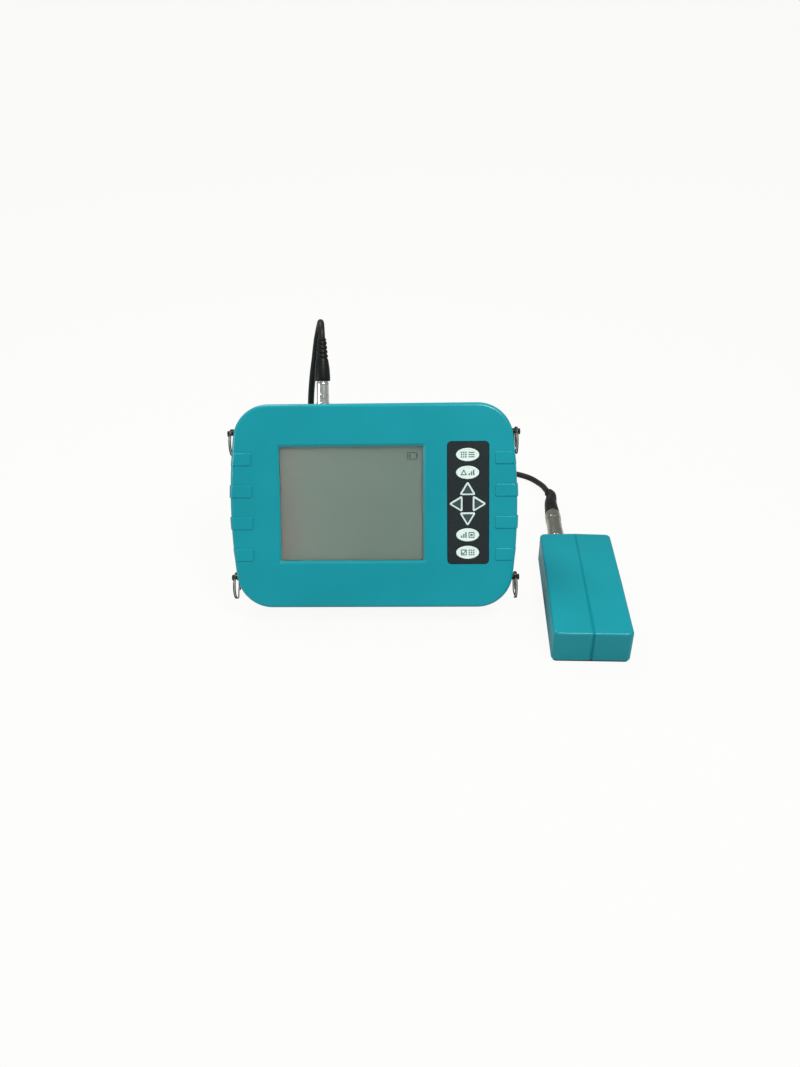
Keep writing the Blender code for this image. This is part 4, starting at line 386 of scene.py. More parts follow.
CORNERS = [f"{level}_{side}" for level in ("upper", "lower") for side in ("left", "right")]
NODE_FINISHES = {
    TEAL: ("front_shell", "rear_shell", "battery_cover", "stand"),
    TEAL_PROBE_SHADED: ("probe_housing",),
    BLACK_RUBBER: ("case_seal", "stand_foot", "back_foot_left", "back_foot_right", "meter_boot",
                   "probe_boot", "coil_tie"),
    SOLE_PLASTIC: ("probe_sole",),
    KEYPAD_FILM: ("keypad_panel",),
    PALE_KEY: ("oval_key_1", "oval_key_2", "oval_key_3", "oval_key_4"),
    ARROW_RIM: ("up_key", "down_key", "left_key", "right_key"),
    LENS: ("window_lens",),
    CRYSTAL: ("display_glass",),
    DARK_FRAME: ("display_frame",),
    BOARD: ("display_board", "key_board", "main_board", "probe_board"),
    BATTERY_WRAP: ("battery_pack",),
    COPPER: ("search_coil",),
    FORMER: ("coil_former",),
    BRONZED: ("probe_plug", "probe_socket"),
    STEEL: ("stand_pin", "meter_plug", "meter_socket", "socket_nut",
            "cover_screw_1", "cover_screw_2",
            *[f"{part}_screw_{number}" for part in ("case", "probe") for number in (1, 2, 3, 4)]),
    CABLE_JACKET: ("cable_drop", "cable_coil", "cable_lead"),
    BLACK_PLASTIC: [f"strap_stud_{corner}" for corner in CORNERS],
    RING_STEEL: [f"split_ring_{corner}" for corner in CORNERS],
}


def finish_nodes():
    for material, names in NODE_FINISHES.items():
        for name in names:
            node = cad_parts[name]
            if not node.material_slots:
                node.data.materials.append(None)
            node.material_slots[0].link = "OBJECT"
            node.material_slots[0].material = material


finish_nodes()


# Making pieces

def verts_of(geometry):
    return [item for item in geometry if isinstance(item, bmesh.types.BMVert)]


def bowed_sheet(half_width, half_height, corner, side_radius):
    """Flat face with round corners, whose left and right sides bow outwards."""
    shape = bmesh.new()
    side_middle = half_width - side_radius
    corner_y = half_height - corner
    corner_x = side_middle + math.sqrt((side_radius - corner) ** 2 - corner_y ** 2)
    lean = math.asin(corner_y / (side_radius - corner))
    tip = shape.verts.new((half_width, 0.0, 0.0))
    arcs = (((side_middle, 0.0, 0.0), lean), ((corner_x, corner_y, 0.0), QUARTER - lean))
    for middle, angle in arcs:
        arc = bmesh.ops.spin(shape, geom=[tip], axis=(0, 0, 1), cent=middle, angle=angle, steps=18)
        tip = verts_of(arc["geom_last"])[0]
    top = shape.verts.new((0.0, half_height, 0.0))
    shape.edges.new((tip, top))
    for axis in "XY":
        bmesh.ops.mirror(
            shape, geom=shape.verts[:] + shape.edges[:], matrix=Matrix(), merge_dist=SAME_POINT,
            axis=axis,
        )
    bmesh.ops.contextual_create(shape, geom=shape.edges[:])
    return shape


def case_sheet(inset=0.0):
    """Outline of the case, or one that lies inside it by the inset."""
    sizes = (CASE_HALF_WIDTH, CASE_HALF_HEIGHT, CORNER_RADIUS, SIDE_RADIUS)
    return bowed_sheet(*[size - inset for size in sizes])


def round_corners(shape, reach, steps):
    bmesh.ops.bevel(
        shape, geom=shape.verts[:], offset=reach, segments=steps, profile=0.5, affect="VERTICES",
        clamp_overlap=True, material=-1,
    )


def rounded_sheet(width, height, corner, centre=(0.0, 0.0), steps=10):
    shape = bmesh.new()
    bmesh.ops.create_grid(shape, x_segments=1, y_segments=1, size=0.5)
    bmesh.ops.scale(shape, verts=shape.verts, vec=(width, height, 1.0))
    if corner:
        round_corners(shape, corner, steps)
    bmesh.ops.translate(shape, verts=shape.verts, vec=(*centre, 0.0))
    return shape


def oval_sheet(width, height, centre=(0.0, 0.0)):
    shape = bmesh.new()
    bmesh.ops.create_circle(shape, cap_ends=True, segments=72, radius=0.5)
    bmesh.ops.scale(shape, verts=shape.verts, vec=(width, height, 1.0))
    bmesh.ops.translate(shape, verts=shape.verts, vec=(*centre, 0.0))
    return shape


def plate(shape, low, high, top_rim=0.0, bottom_rim=0.0, steps=6, flare=None):
    """Give a flat face a thickness, and round or flare its rims."""
    bmesh.ops.translate(shape, verts=shape.verts, vec=(0.0, 0.0, low))
    raised = verts_of(bmesh.ops.extrude_face_region(shape, geom=shape.faces[:])["geom"])
    bmesh.ops.translate(shape, verts=raised, vec=(0.0, 0.0, high - low))
    if flare is not None:
        middle, share_x, share_y = flare
        space = Matrix.Translation((-middle[0], -middle[1], 0.0))
        bmesh.ops.scale(shape, verts=raised, vec=(share_x, share_y, 1.0), space=space)
    bmesh.ops.recalc_face_normals(shape, faces=shape.faces)
    for height, radius in ((high, top_rim), (low, bottom_rim)):
        if radius:
            rim = [edge for edge in shape.edges
                   if all(abs(vert.co.z - height) < SAME_POINT for vert in edge.verts)]
            bmesh.ops.bevel(
                shape, geom=rim, offset=radius, segments=steps, profile=0.5, affect="EDGES",
                offset_type="OFFSET", clamp_overlap=True, material=-1,
            )
    return as_mesh(shape)


def as_mesh(shape, name="piece"):
    mesh = bpy.data.meshes.new(name)
    shape.to_mesh(mesh)
    shape.free()
    return mesh


def joined(*meshes):
    shape = bmesh.new()
    for mesh in meshes:
        shape.from_mesh(mesh)
    return as_mesh(shape)


def boxes(*corners):
    """Separate boxes in one mesh, each given by its low and its high corner."""
    shape = bmesh.new()
    for low, high in corners:
        size = Vector(high) - Vector(low)
        middle = (Vector(low) + Vector(high)) / 2
        place = Matrix.Translation(middle) @ Matrix.Diagonal((*size, 1.0))
        bmesh.ops.create_cube(shape, size=1.0, matrix=place)
    return as_mesh(shape)


def posts(places, radius, length, way="Z", sides=40):
    """Round posts of one size that start at the given places and run along one axis."""
    turn = Matrix.Rotation(QUARTER, 4, "Y") if way == "X" else Matrix()
    shape = bmesh.new()
    for place in places:
        matrix = Matrix.Translation(place) @ turn @ Matrix.Translation((0.0, 0.0, length / 2))
        bmesh.ops.create_cone(
            shape, cap_ends=True, segments=sides, radius1=radius, radius2=radius, depth=length,
            matrix=matrix,
        )
    return as_mesh(shape)


def turned(profile, steps=56):
    """Solid turned about Z from pairs of radius and height."""
    shape = bmesh.new()
    last = None
    for radius, height in profile:
        point = shape.verts.new((radius, 0.0, height))
        if last is not None:
            shape.edges.new((last, point))
        last = point
    bmesh.ops.spin(
        shape, geom=shape.verts[:] + shape.edges[:], axis=(0, 0, 1), cent=(0, 0, 0),
        angle=2 * math.pi, steps=steps, use_merge=True,
    )
    bmesh.ops.remove_doubles(shape, verts=shape.verts, dist=SAME_POINT)
    bmesh.ops.recalc_face_normals(shape, faces=shape.faces)
    return as_mesh(shape)


def round_curve(name, points, radius, sides):
    """Curve through the points with a round section and closed ends, and its line of points."""
    curve = bpy.data.curves.new(name, "CURVE")
    curve.dimensions = "3D"
    curve.bevel_depth = radius
    curve.bevel_resolution = sides
    curve.use_fill_caps = True
    spline = curve.splines.new("POLY")
    spline.points.add(len(points) - 1)
    for target, point in zip(spline.points, points):
        target.co = (*point, 1.0)
    return curve, spline


def curved_rod(points, radius, widths=(), sides=5):
    """Rod along a line of points; widths are its shares of the radius at each of them."""
    curve, spline = round_curve("rod", points, radius, sides)
    for target, width in zip(spline.points, widths):
        target.radius = width
    mesh = settled(bpy.data.objects.new("rod", curve))
    shape = bmesh.new()
    shape.from_mesh(mesh)
    bmesh.ops.remove_doubles(shape, verts=shape.verts, dist=SAME_POINT)
    bmesh.ops.recalc_face_normals(shape, faces=shape.faces)
    return as_mesh(shape)


def settled(thing):
    """Mesh of an object with its modifiers worked in; the object is removed."""
    if thing.name not in bpy.context.scene.collection.objects:
        bpy.context.scene.collection.objects.link(thing)
    graph = bpy.context.evaluated_depsgraph_get()
    mesh = bpy.data.meshes.new_from_object(thing.evaluated_get(graph))
    bpy.data.objects.remove(thing, do_unlink=True)
    return mesh


def carved(mesh, *steps):
    """Mesh after it is joined with or cut by others in turn; each step is a kind and a mesh."""
    thing = bpy.data.objects.new("carved", mesh)
    helpers = []
    for kind, other in steps:
        helper = bpy.data.objects.new("cutter", other)
        bpy.context.scene.collection.objects.link(helper)
        helpers.append(helper)
        modifier = thing.modifiers.new("carve", "BOOLEAN")
        modifier.operation = kind
        modifier.solver = "EXACT"
        modifier.object = helper
    result = settled(thing)
    for helper in helpers:
        bpy.data.objects.remove(helper, do_unlink=True)
    return result


def add_piece(name, mesh, place, material, body, replaced=(), soft=0.0, angle=40.0):
    """Put a finished mesh in the scene.

    soft is the width of the bevel on its sharp edges, and angle, in degrees, is the least that
    counts as sharp where there is no bevel.
    """
    mesh.transform(place)
    mesh.name = name
    mesh.materials.clear()
    mesh.materials.append(material)
    mesh.shade_smooth()
    piece = bpy.data.objects.new(name, mesh)
    bpy.context.scene.collection.objects.link(piece)
    if soft:
        bevel = piece.modifiers.new("soft_edges", "BEVEL")
        bevel.width = soft
        bevel.segments = 2
        bevel.limit_method = "ANGLE"
        bevel.angle_limit = math.radians(32)
        bevel.miter_outer = "MITER_ARC"
    else:
        mesh.set_sharp_from_angle(angle=math.radians(angle))
    even = piece.modifiers.new("even_shading", "WEIGHTED_NORMAL")
    even.keep_sharp = True
    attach(piece, body)
    if replaced:
        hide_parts(*replaced)
    return piece


# Case

WINDOW = (-0.0182, 0.0023)
WINDOW_WIDE = 0.120
WINDOW_HIGH = 0.0956
CHAMFER = 0.0025
PANEL = (0.0790, 0.0026)
PANEL_WIDE = 0.0344
PANEL_HIGH = 0.102
PANEL_CORNER = 0.0036
PANEL_TOP = FACE_HIGH - 0.0004
STUD_X = 0.11658
STUD_Y = 0.0614
STUD_Z = 0.010
SCREW_PLACES = [(x, y) for x in (-0.092, 0.092) for y in (-0.066, 0.066)]
COVER = (0.0, 0.053)
COVER_CORNER = 0.004


def front_case():
    """Front half with its window, keypad recess and the seats of its strap studs."""
    inside = FACE_HIGH - WALL
    body = plate(case_sheet(), GAP / 2, FACE_HIGH, top_rim=RIM_RADIUS, steps=9)
    hollow = plate(case_sheet(WALL), -WALL, inside, top_rim=RIM_RADIUS - WALL, steps=4)
    seat_length = 0.007
    seats = [(STUD_X - GAP - seat_length, y, STUD_Z) for y in (-STUD_Y, STUD_Y)]
    seats += [(GAP - STUD_X, y, STUD_Z) for y in (-STUD_Y, STUD_Y)]
    window = rounded_sheet(WINDOW_WIDE, WINDOW_HIGH, 0.0015, WINDOW)
    chamfer = rounded_sheet(WINDOW_WIDE, WINDOW_HIGH, 0.0015, WINDOW)
    flare = (WINDOW, 1 + 2 * CHAMFER / WINDOW_WIDE, 1 + 2 * CHAMFER / WINDOW_HIGH)
    pocket = rounded_sheet(PANEL_WIDE + 2 * GAP, PANEL_HIGH + 2 * GAP, PANEL_CORNER + GAP, PANEL)
    mesh = carved(
        body,
        ("DIFFERENCE", hollow),
        ("UNION", posts(seats, 0.0032, seat_length, "X", 32)),
        ("DIFFERENCE", plate(window, inside - WALL, FACE_HIGH - 0.0014)),
        ("DIFFERENCE", plate(chamfer, FACE_HIGH - 0.00187, FACE_HIGH + 0.00025, flare=flare)),
        ("DIFFERENCE", plate(pocket, PANEL_TOP - 0.0015, FACE_HIGH + WALL)),
    )
    add_piece("front_case", mesh, UNIT_PLACE, TEAL, "case", ["front_shell"],
              soft=SMALL_RIM)


def grip_pads():
    """Four raised bars on each side of the face, which wrap around its edge."""
    proud = 0.0009
    top = FACE_HIGH + proud
    body = bowed_sheet(CASE_HALF_WIDTH + proud, CASE_HALF_HEIGHT - 0.015, 0.015, 0.330)
    bars = plate(body, 0.004, top, top_rim=RIM_RADIUS + proud, steps=9)
    inner_x = 0.1016
    outer_x = 0.130
    high = 0.0105
    apart = 0.0268
    limits = []
    for step in (-1.5, -0.5, 0.5, 1.5):
        for side in (-1, 1):
            centre = (side * (inner_x + outer_x) / 2, step * apart)
            sheet = rounded_sheet(outer_x - inner_x, high, 0.0012, centre, 5)
            limits.append(plate(sheet, 0.002, top + 0.00002, top_rim=0.0008, steps=4))
    hollow = plate(case_sheet(WALL / 2), -WALL, FACE_HIGH - WALL / 2)
    mesh = carved(bars, ("INTERSECT", joined(*limits)), ("DIFFERENCE", hollow))
    add_piece("grip_pads", mesh, UNIT_PLACE, TEAL, "case", angle=50.0)


def rear_case():
    """Rear half with its stand recess, battery ledge and screw bosses, and what is fixed on it."""
    root = BACK_LOW + WALL / 2
    outside = BACK_LOW - WALL
    body = plate(case_sheet(), BACK_LOW, -GAP / 2, bottom_rim=0.005, steps=9)
    hollow = plate(case_sheet(WALL), BACK_LOW + WALL, WALL, bottom_rim=WALL, steps=4)
    half = 0.0546
    ledge = plate(rounded_sheet(0.118, 0.045, COVER_CORNER, COVER), root, -0.0190)
    bosses = [(x, y, root) for x, y in SCREW_PLACES]
    holes = [(x, y, outside) for x, y in SCREW_PLACES]
    seat = plate(rounded_sheet(0.1126, 0.0426, 0.0042, COVER), outside, BACK_LOW + 0.0025)
    mesh = carved(
        body,
        ("DIFFERENCE", hollow),
        ("UNION", boxes(((-half - WALL, -0.0817, root), (half + WALL, 0.0272, -0.0161)))),
        ("UNION", boxes(((-0.0606, 0.0140, root), (0.0606, 0.02595, -0.0130)))),
        ("UNION", ledge),
        ("UNION", posts(bosses, 0.0042, -GAP - root)),
        ("DIFFERENCE", boxes(((-half, -0.0792, outside), (half, 0.0247, -0.0186)))),
        ("DIFFERENCE", boxes(((-half, 0.0159, outside), (half, 0.0244, -0.0155)))),
        ("DIFFERENCE", seat),
        ("DIFFERENCE", posts(holes, 0.0032, WALL + 0.016)),
    )
    add_piece("rear_case", mesh, UNIT_PLACE, TEAL, "case", ["rear_shell"],
              soft=SMALL_RIM)
    cover = plate(rounded_sheet(0.112, 0.042, COVER_CORNER, COVER), BACK_LOW, BACK_LOW + 0.0022)
    add_piece("cover_plate", cover, UNIT_PLACE, TEAL, "case", ["battery_cover"],
              soft=0.0005)
    for name, x in (("cover_screw_1", -0.0515), ("cover_screw_2", 0.0515)):
        place = UNIT_PLACE @ Matrix.Translation((x, COVER[1], BACK_LOW - GAP))
        add_piece(f"crossed_{name}", cross_screw(), place, STEEL, "case", [name],
                  angle=30.0)
    for side, name in ((-1, "left"), (1, "right")):
        bar = rounded_sheet(0.008, 0.052, 0.003, (side * 0.0875, -0.030))
        mesh = plate(bar, BACK_LOW - 0.0014, BACK_LOW + 0.0005, bottom_rim=0.0007, steps=4)
        add_piece(f"rubber_bar_{name}", mesh, UNIT_PLACE, BLACK_RUBBER, "case",
                  [f"back_foot_{name}"])


def cross_screw():
    """Pan-head screw with a crossed slot; its head points along -Z."""
    head = 0.0012
    profile = [(0.0, -head), (0.0014, -head), (0.0022, -head * 0.93), (0.0027, -head * 0.72),
               (0.0029, -head * 0.45), (0.0029, 0.0), (0.0014, 0.0), (0.0014, 0.0045),
               (0.0, 0.0055)]
    slot_long = 0.0016
    slot_wide = 0.00028
    slots = [
        ("DIFFERENCE", boxes(((-x, -y, -0.01), (x, y, -head * 0.25))))
        for x, y in ((slot_long, slot_wide), (slot_wide, slot_long))
    ]
    return carved(turned(profile, 40), *slots)


def folding_stand():
    long = 0.0941
    wide = 0.108
    opening = 0.0659
    leg = plate(rounded_sheet(wide, long, 0.001, (0.0, 0.0012 - long / 2)), -0.0041, 0.0001)
    window = rounded_sheet(0.078, opening, 0.005, (0.0, -0.014 - opening / 2))
    barrel = posts([(-wide / 2, 0.0, 0.0)], 0.0035, wide, "X", 48)
    mesh = carved(leg, ("UNION", barrel), ("DIFFERENCE", plate(window, -0.01, 0.01)))
    add_piece("folding_stand", mesh, STAND_PLACE, TEAL, "stand", ["stand"],
              soft=0.0005)


front_case()
grip_pads()
rear_case()
folding_stand()


# Keypad and display mark

KEY_X = 0.0786
KEY_LOW = PANEL_TOP - 0.0021
KEY_HIGH = PANEL_TOP + 0.0008
OVAL_WIDE = 0.0191
OVAL_HIGH = 0.0109
OVAL_RIM = 0.0013
DISH_DEEP = 0.00018
KEY_EDGE = 0.0005
PAST_THE_FACE = 0.05
OVAL_PLACES = [(KEY_X, y) for y in (0.0427, 0.0280, -0.0240, -0.0387)]
ARROW_PLACES = {
    "up_key": (0.0, (KEY_X, 0.0132)),
    "left_key": (QUARTER, (KEY_X - 0.0082, 0.0020)),
    "down_key": (math.pi, (KEY_X, -0.0092)),
    "right_key": (-QUARTER, (KEY_X + 0.0082, 0.0020)),
}

# Bars of the small signs on the oval keys, each with its middle, size and turn in degrees
PRINT_HIGH = 0.00012
PRINT_LINE = 0.0008
GLYPH = 0.0050
FRAME = 0.0042
GLYPH_LEFT = -0.0032
GLYPH_RIGHT = 0.0032
DOT = 0.0012
THIRDS = (-0.0018, 0.0, 0.0018)
LINES = [(0, y, GLYPH, 0.0009, 0) for y in THIRDS]
DOTS = [(x, y, DOT, DOT, 0) for x in THIRDS for y in THIRDS]
STAIRS = [(x, y, DOT, high, 0)
          for x, y, high in zip(THIRDS, (-0.0014, -0.0007, 0.0), (0.0018, 0.0032, 0.0046))]
TICK = [(-0.0013, -0.0005, 0.0024, PRINT_LINE, -45), (0.0007, 0.0003, 0.0044, PRINT_LINE, 55)]
CORE = [(0, 0, 0.0020, 0.0020, 0)]
TRIANGLE = [(x, y, GLYPH, PRINT_LINE, turn)
            for x, y, turn in ((-0.0011, 0, 60), (0.0011, 0, -60), (0, -0.0019, 0))]
SQUARE = [(x, y, FRAME, PRINT_LINE, turn)
          for x, y, turn in ((0, FRAME / 2, 0), (0, -FRAME / 2, 0), (FRAME / 2, 0, 90),
                             (-FRAME / 2, 0, 90))]
KEY_SIGNS = (
    (DOTS, LINES),
    (TRIANGLE, STAIRS),
    (STAIRS, SQUARE + CORE),
    (SQUARE + TICK, DOTS),
)


def arrow_sheet(turn, grow, centre):
    """Triangle with round corners; grow sets its edge outwards."""
    base = 0.0142
    high = 0.0118
    inner = base * high / (base + 2 * math.hypot(base / 2, high))
    share = (inner + grow) / inner
    shape = bmesh.new()
    corners = [shape.verts.new((x * share, y * share, 0.0))
               for x, y in ((-base / 2, -inner), (base / 2, -inner), (0.0, high - inner))]
    shape.faces.new(corners)
    round_corners(shape, (0.0013 + grow) / math.tan(math.radians(30)), 8)
    place = Matrix.Translation((*centre, 0.0)) @ Matrix.Rotation(turn, 4, "Z")
    bmesh.ops.transform(shape, matrix=place, verts=shape.verts)
    return shape


def printed_signs(left, right):
    """Thin printed bars of the two signs on a key, in one mesh."""
    shape = bmesh.new()
    for shift, bars in ((GLYPH_LEFT, left), (GLYPH_RIGHT, right)):
        for x, y, wide, high, turn in bars:
            middle = Matrix.Translation((x + shift, y, 0.0))
            place = middle @ Matrix.Rotation(math.radians(turn), 4, "Z")
            size = Matrix.Diagonal((wide, high, PRINT_HIGH, 1.0))
            bmesh.ops.create_cube(shape, size=1.0, matrix=place @ size)
    return as_mesh(shape)


def keypad():
    """Film panel with holes for the keys, and the keys that press through it."""
    ovals = [oval_sheet(OVAL_WIDE + 2 * GAP, OVAL_HIGH + 2 * GAP, place) for place in OVAL_PLACES]
    arrows = [arrow_sheet(turn, GAP, place) for turn, place in ARROW_PLACES.values()]
    holes = [plate(sheet, 0.0, PAST_THE_FACE) for sheet in ovals + arrows]
    panel = rounded_sheet(PANEL_WIDE, PANEL_HIGH, PANEL_CORNER, PANEL)
    film = carved(plate(panel, PANEL_TOP - 0.0012, PANEL_TOP), ("DIFFERENCE", joined(*holes)))
    add_piece("keypad_film", film, UNIT_PLACE, KEYPAD_FILM, "case",
              ["keypad_panel"], angle=30.0)
    for number, (place, signs) in enumerate(zip(OVAL_PLACES, KEY_SIGNS), 1):
        name = f"oval_key_{number}"
        key = oval_sheet(OVAL_WIDE, OVAL_HIGH, place)
        dish = oval_sheet(OVAL_WIDE - 2 * OVAL_RIM, OVAL_HIGH - 2 * OVAL_RIM, place)
        cap = carved(
            plate(key, KEY_LOW, KEY_HIGH, top_rim=KEY_EDGE, steps=5),
            ("DIFFERENCE", plate(dish, KEY_HIGH - DISH_DEEP, PAST_THE_FACE)),
        )
        add_piece(f"{name}_cap", cap, UNIT_PLACE, PALE_KEY, name, [name], angle=30.0)
        shift = Matrix.Translation((*place, KEY_HIGH - DISH_DEEP))
        add_piece(f"{name}_mark", printed_signs(*signs), UNIT_PLACE @ shift, KEY_PRINT, name,
                  angle=30.0)
    for name, (turn, place) in ARROW_PLACES.items():
        cap = plate(arrow_sheet(turn, 0.0, place), KEY_LOW, KEY_HIGH, top_rim=KEY_EDGE, steps=5)
        add_piece(f"{name}_cap", cap, UNIT_PLACE, ARROW_RIM, name, [name], angle=30.0)
        fill = plate(arrow_sheet(turn, -0.0014, place), KEY_HIGH - 0.0004, KEY_HIGH + 0.00006)
        add_piece(f"{name}_fill", fill, UNIT_PLACE, ARROW_FILL, name, angle=30.0)


def battery_mark():
    """Small battery sign at the upper right of the display, with one bar of charge left."""
    left, right, low, high = 0.0283, 0.0367, 0.0388, 0.0450
    line = 0.0008
    display_top = 0.0162
    thickness = 0.0001
    outline = [(left, low, right, low + line), (left, high - line, right, high),
               (left, low, left + line, high), (right - line, low, right, high)]
    knob = (right, low + 0.0017, right + 0.0010, high - 0.0017)
    charge = (left + 0.0016, low + 0.0015, left + 0.0032, high - 0.0015)
    marks = [((x1, y1, display_top), (x2, y2, display_top + thickness))
             for x1, y1, x2, y2 in (*outline, knob, charge)]
    add_piece("battery_mark", boxes(*marks), UNIT_PLACE, DISPLAY_INK, "case",
              angle=30.0)


keypad()
battery_mark()


# Strap studs and split rings

def split_ring_points(radius, hang, pitch):
    """Two rounds of wire side by side, joined by one gentle step."""
    start = 30
    points = []
    for angle in range(start, 721 - start, 5):
        share = min(1.0, max(0.0, (angle - 360 + start) / (2 * start)))
        offset = pitch * (2 * share * share * (3 - 2 * share) - 1)
        turn = math.radians(angle - 90)
        points.append((offset, -hang + radius * math.sin(turn), radius * math.cos(turn)))
    return points


def strap_points():
    flange = 0.0018
    head = flange + 0.0028
    top = head + 0.0016
    neck = 0.0016
    profile = [
        (0.0, top), (0.0019, top), (0.0023, top - 0.0001), (0.0025, top - 0.0004),
        (0.0025, head + 0.0004), (0.0023, head + 0.0001), (0.0018, head), (neck, head - 0.0003),
        (neck, flange + 0.0003), (0.0018, flange), (0.0024, flange - 0.0001),
        (0.0026, flange - 0.0005), (0.0027, 0.0), (0.0014, 0.0), (0.0014, -0.005), (0.0, -0.005),
    ]
    radius = 0.0110
    rod = 0.00055
    points = split_ring_points(radius, radius - rod - neck - GAP, 0.00065)
    for side, side_name in ((-1, "left"), (1, "right")):
        for level, level_name in ((1, "upper"), (-1, "lower")):
            corner = f"{level_name}_{side_name}"
            stud = Matrix.Translation((side * STUD_X, level * STUD_Y, STUD_Z))
            add_piece(f"turned_strap_stud_{corner}", turned(profile),
                      UNIT_PLACE @ stud @ Matrix.Rotation(side * QUARTER, 4, "Y"), BLACK_PLASTIC,
                      "case", [f"strap_stud_{corner}"], angle=50.0)
            ring = Matrix.Translation((side * (STUD_X + 0.0032), level * STUD_Y, STUD_Z))
            add_piece(f"wire_ring_{corner}", curved_rod(points, rod),
                      UNIT_PLACE @ ring @ Matrix.Rotation(LEAN_BACK, 4, "X"), RING_STEEL,
                      f"ring_{corner}", [f"split_ring_{corner}"], angle=60.0)


strap_points()


# Plugs, sockets and boots

PLUG_TURN = Matrix.Rotation(-QUARTER, 4, "X")
METER_PLUG_PLACE = (
    UNIT_PLACE @ Matrix.Translation((-0.044, CASE_HALF_HEIGHT + GAP, -0.0098)) @ PLUG_TURN
)
PROBE_PLUG_PLACE = PROBE_PLACE @ Matrix.Translation((-0.0150, 0.1389, 0.0170)) @ PLUG_TURN


def ribbed_sleeve(low, high, radius, ribs, depth):
    """Sleeve with fine ribs along its length."""
    shape = bmesh.new()
    bmesh.ops.create_circle(shape, cap_ends=True, segments=2 * ribs, radius=radius)
    shape.verts.ensure_lookup_table()
    bmesh.ops.scale(shape, verts=list(shape.verts)[::2], vec=(1 - depth, 1 - depth, 1.0))
    return plate(shape, low, high)


def ribbed_boot(low, length, base, tip):
    """Tapered boot with a plain lower half and ring grooves towards its tip."""
    high = low + length
    profile = [(0.0, high), (tip * 0.80, high), (tip * 0.95, high - 0.0004), (tip, high - 0.0012)]
    groove = ((1.0, 0.0010), (0.97, 0.0006), (0.86, 0.0003), (0.86, -0.0004), (0.97, -0.0007),
              (1.01, -0.0011))
    for rib in range(5):
        share = (rib + 0.6) / 10
        radius = tip + (base - tip) * share
        middle = high - length * share
        profile += [(radius * part, middle + rise) for part, rise in groove]
    profile += [
        (tip + (base - tip) * 0.62, low + length * 0.44), (base * 0.94, low + length * 0.30),
        (base * 0.99, low + length * 0.16), (base, low + length * 0.08), (base, low + 0.0006),
        (base * 0.96, low + 0.0001), (base * 0.90, low), (0.0, low),
    ]
    return turned(profile, 48)


def meter_plug():
    socket = [
        (0.0, 0.0), (0.0, -0.0060), (0.0047, -0.0060), (0.0047, 0.0), (0.0055, 0.0),
        (0.0057, 0.0002), (0.0057, 0.0014), (0.0055, 0.0016), (0.0053, 0.0016),
        (0.0053, 0.0042), (0.0051, 0.0044), (0.0, 0.0044),
    ]
    add_piece("turned_meter_socket", turned(socket), METER_PLUG_PLACE, STEEL, "case",
              ["meter_socket"], angle=30.0)
    low = 0.0047
    high = low + 0.0148
    radius = 0.0054
    body = [
        (0.0, high), (radius * 0.90, high), (radius * 0.92, high - 0.0011),
        (radius * 0.97, high - 0.0014), (radius, high - 0.0018), (radius, high - 0.0024),
        (radius * 0.92, high - 0.0028), (radius * 0.92, low + 0.0040), (radius, low + 0.0036),
        (radius, low + 0.0024), (radius * 0.93, low + 0.0021), (radius * 0.93, low + 0.0016),
        (radius, low + 0.0013), (radius, low + 0.0003), (radius * 0.95, low), (0.0, low),
    ]
    sleeve = ribbed_sleeve(low + 0.0040, high - 0.0028, radius * 0.96, 24, 0.025)
    add_piece("knurled_meter_plug", joined(turned(body), sleeve), METER_PLUG_PLACE, STEEL, "case",
              ["meter_plug"], angle=30.0)
    boot = ribbed_boot(high + GAP, 0.036, 0.0066, 0.0038)
    add_piece("ribbed_meter_boot", boot, METER_PLUG_PLACE, BLACK_RUBBER, "case",
              ["meter_boot"], angle=60.0)


def probe_plug():
    radius = 0.0074
    flange = 0.0086
    socket = [
        (0.0, 0.0062), (radius * 0.90, 0.0062), (radius * 0.92, 0.0058), (radius * 0.92, 0.002),
        (0.0082, 0.002), (flange, 0.0016), (flange, 0.0003), (0.0083, 0.0), (radius * 0.7, 0.0),
        (radius * 0.7, -0.005), (0.0, -0.005),
    ]
    add_piece("turned_probe_socket", turned(socket), PROBE_PLUG_PLACE, BRONZED, "case",
              ["probe_socket"], angle=30.0)
    start = 0.0063
    end = start + 0.042
    body = [
        (0.0, end), (radius * 0.88, end), (radius * 0.90, end - 0.0004),
        (radius * 0.90, end - 0.002), (radius * 0.98, end - 0.0027), (radius, end - 0.0033),
        (radius, end - 0.0117), (radius * 0.99, end - 0.0122), (radius * 0.94, end - 0.0128),
        (radius * 0.94, start + 0.0122), (radius * 0.99, start + 0.0113),
        (radius, start + 0.0108), (radius, start + 0.001), (radius * 0.97, start + 0.0002),
        (radius * 0.94, start), (0.0, start),
    ]
    add_piece("turned_probe_plug", turned(body), PROBE_PLUG_PLACE, BRONZED, "case",
              ["probe_plug"], angle=30.0)


def probe_boot():
    """Boot that bends with the cable, with ring grooves on the half next to it."""
    thin = 0.0044
    thick = 0.0070
    widest = 0.0074
    tip = Vector(PROBE_BOOT_END)
    root = PROBE_PLACE @ Vector((-0.0150, 0.1872 + GAP, 0.0170))
    way = (PROBE_PLACE.to_3x3() @ Vector((0.0, 1.0, 0.0))) * (tip - root).length
    before = tip.lerp(Vector(LEAD_ROUTE[-1]), -1.0)
    route = dense_route([tip, before, root + way * 0.4, root], 0.0005)
    last = len(route) - 1
    widths = []
    for index in range(last + 1):
        share = index / last
        radius = thin + (thick - thin) * share
        grooved = share < 0.55 and (share * 13) % 1.0 < 0.42 and index > 2
        end_round = 0.86 if index in (0, last) else 1.0
        widths.append(radius / widest * (0.88 if grooved else 1.0) * end_round)
    add_piece("ribbed_probe_boot", curved_rod(route, widest, widths, 9), Matrix(), BLACK_RUBBER,
              "case", ["probe_boot"], angle=70.0)


# Probe

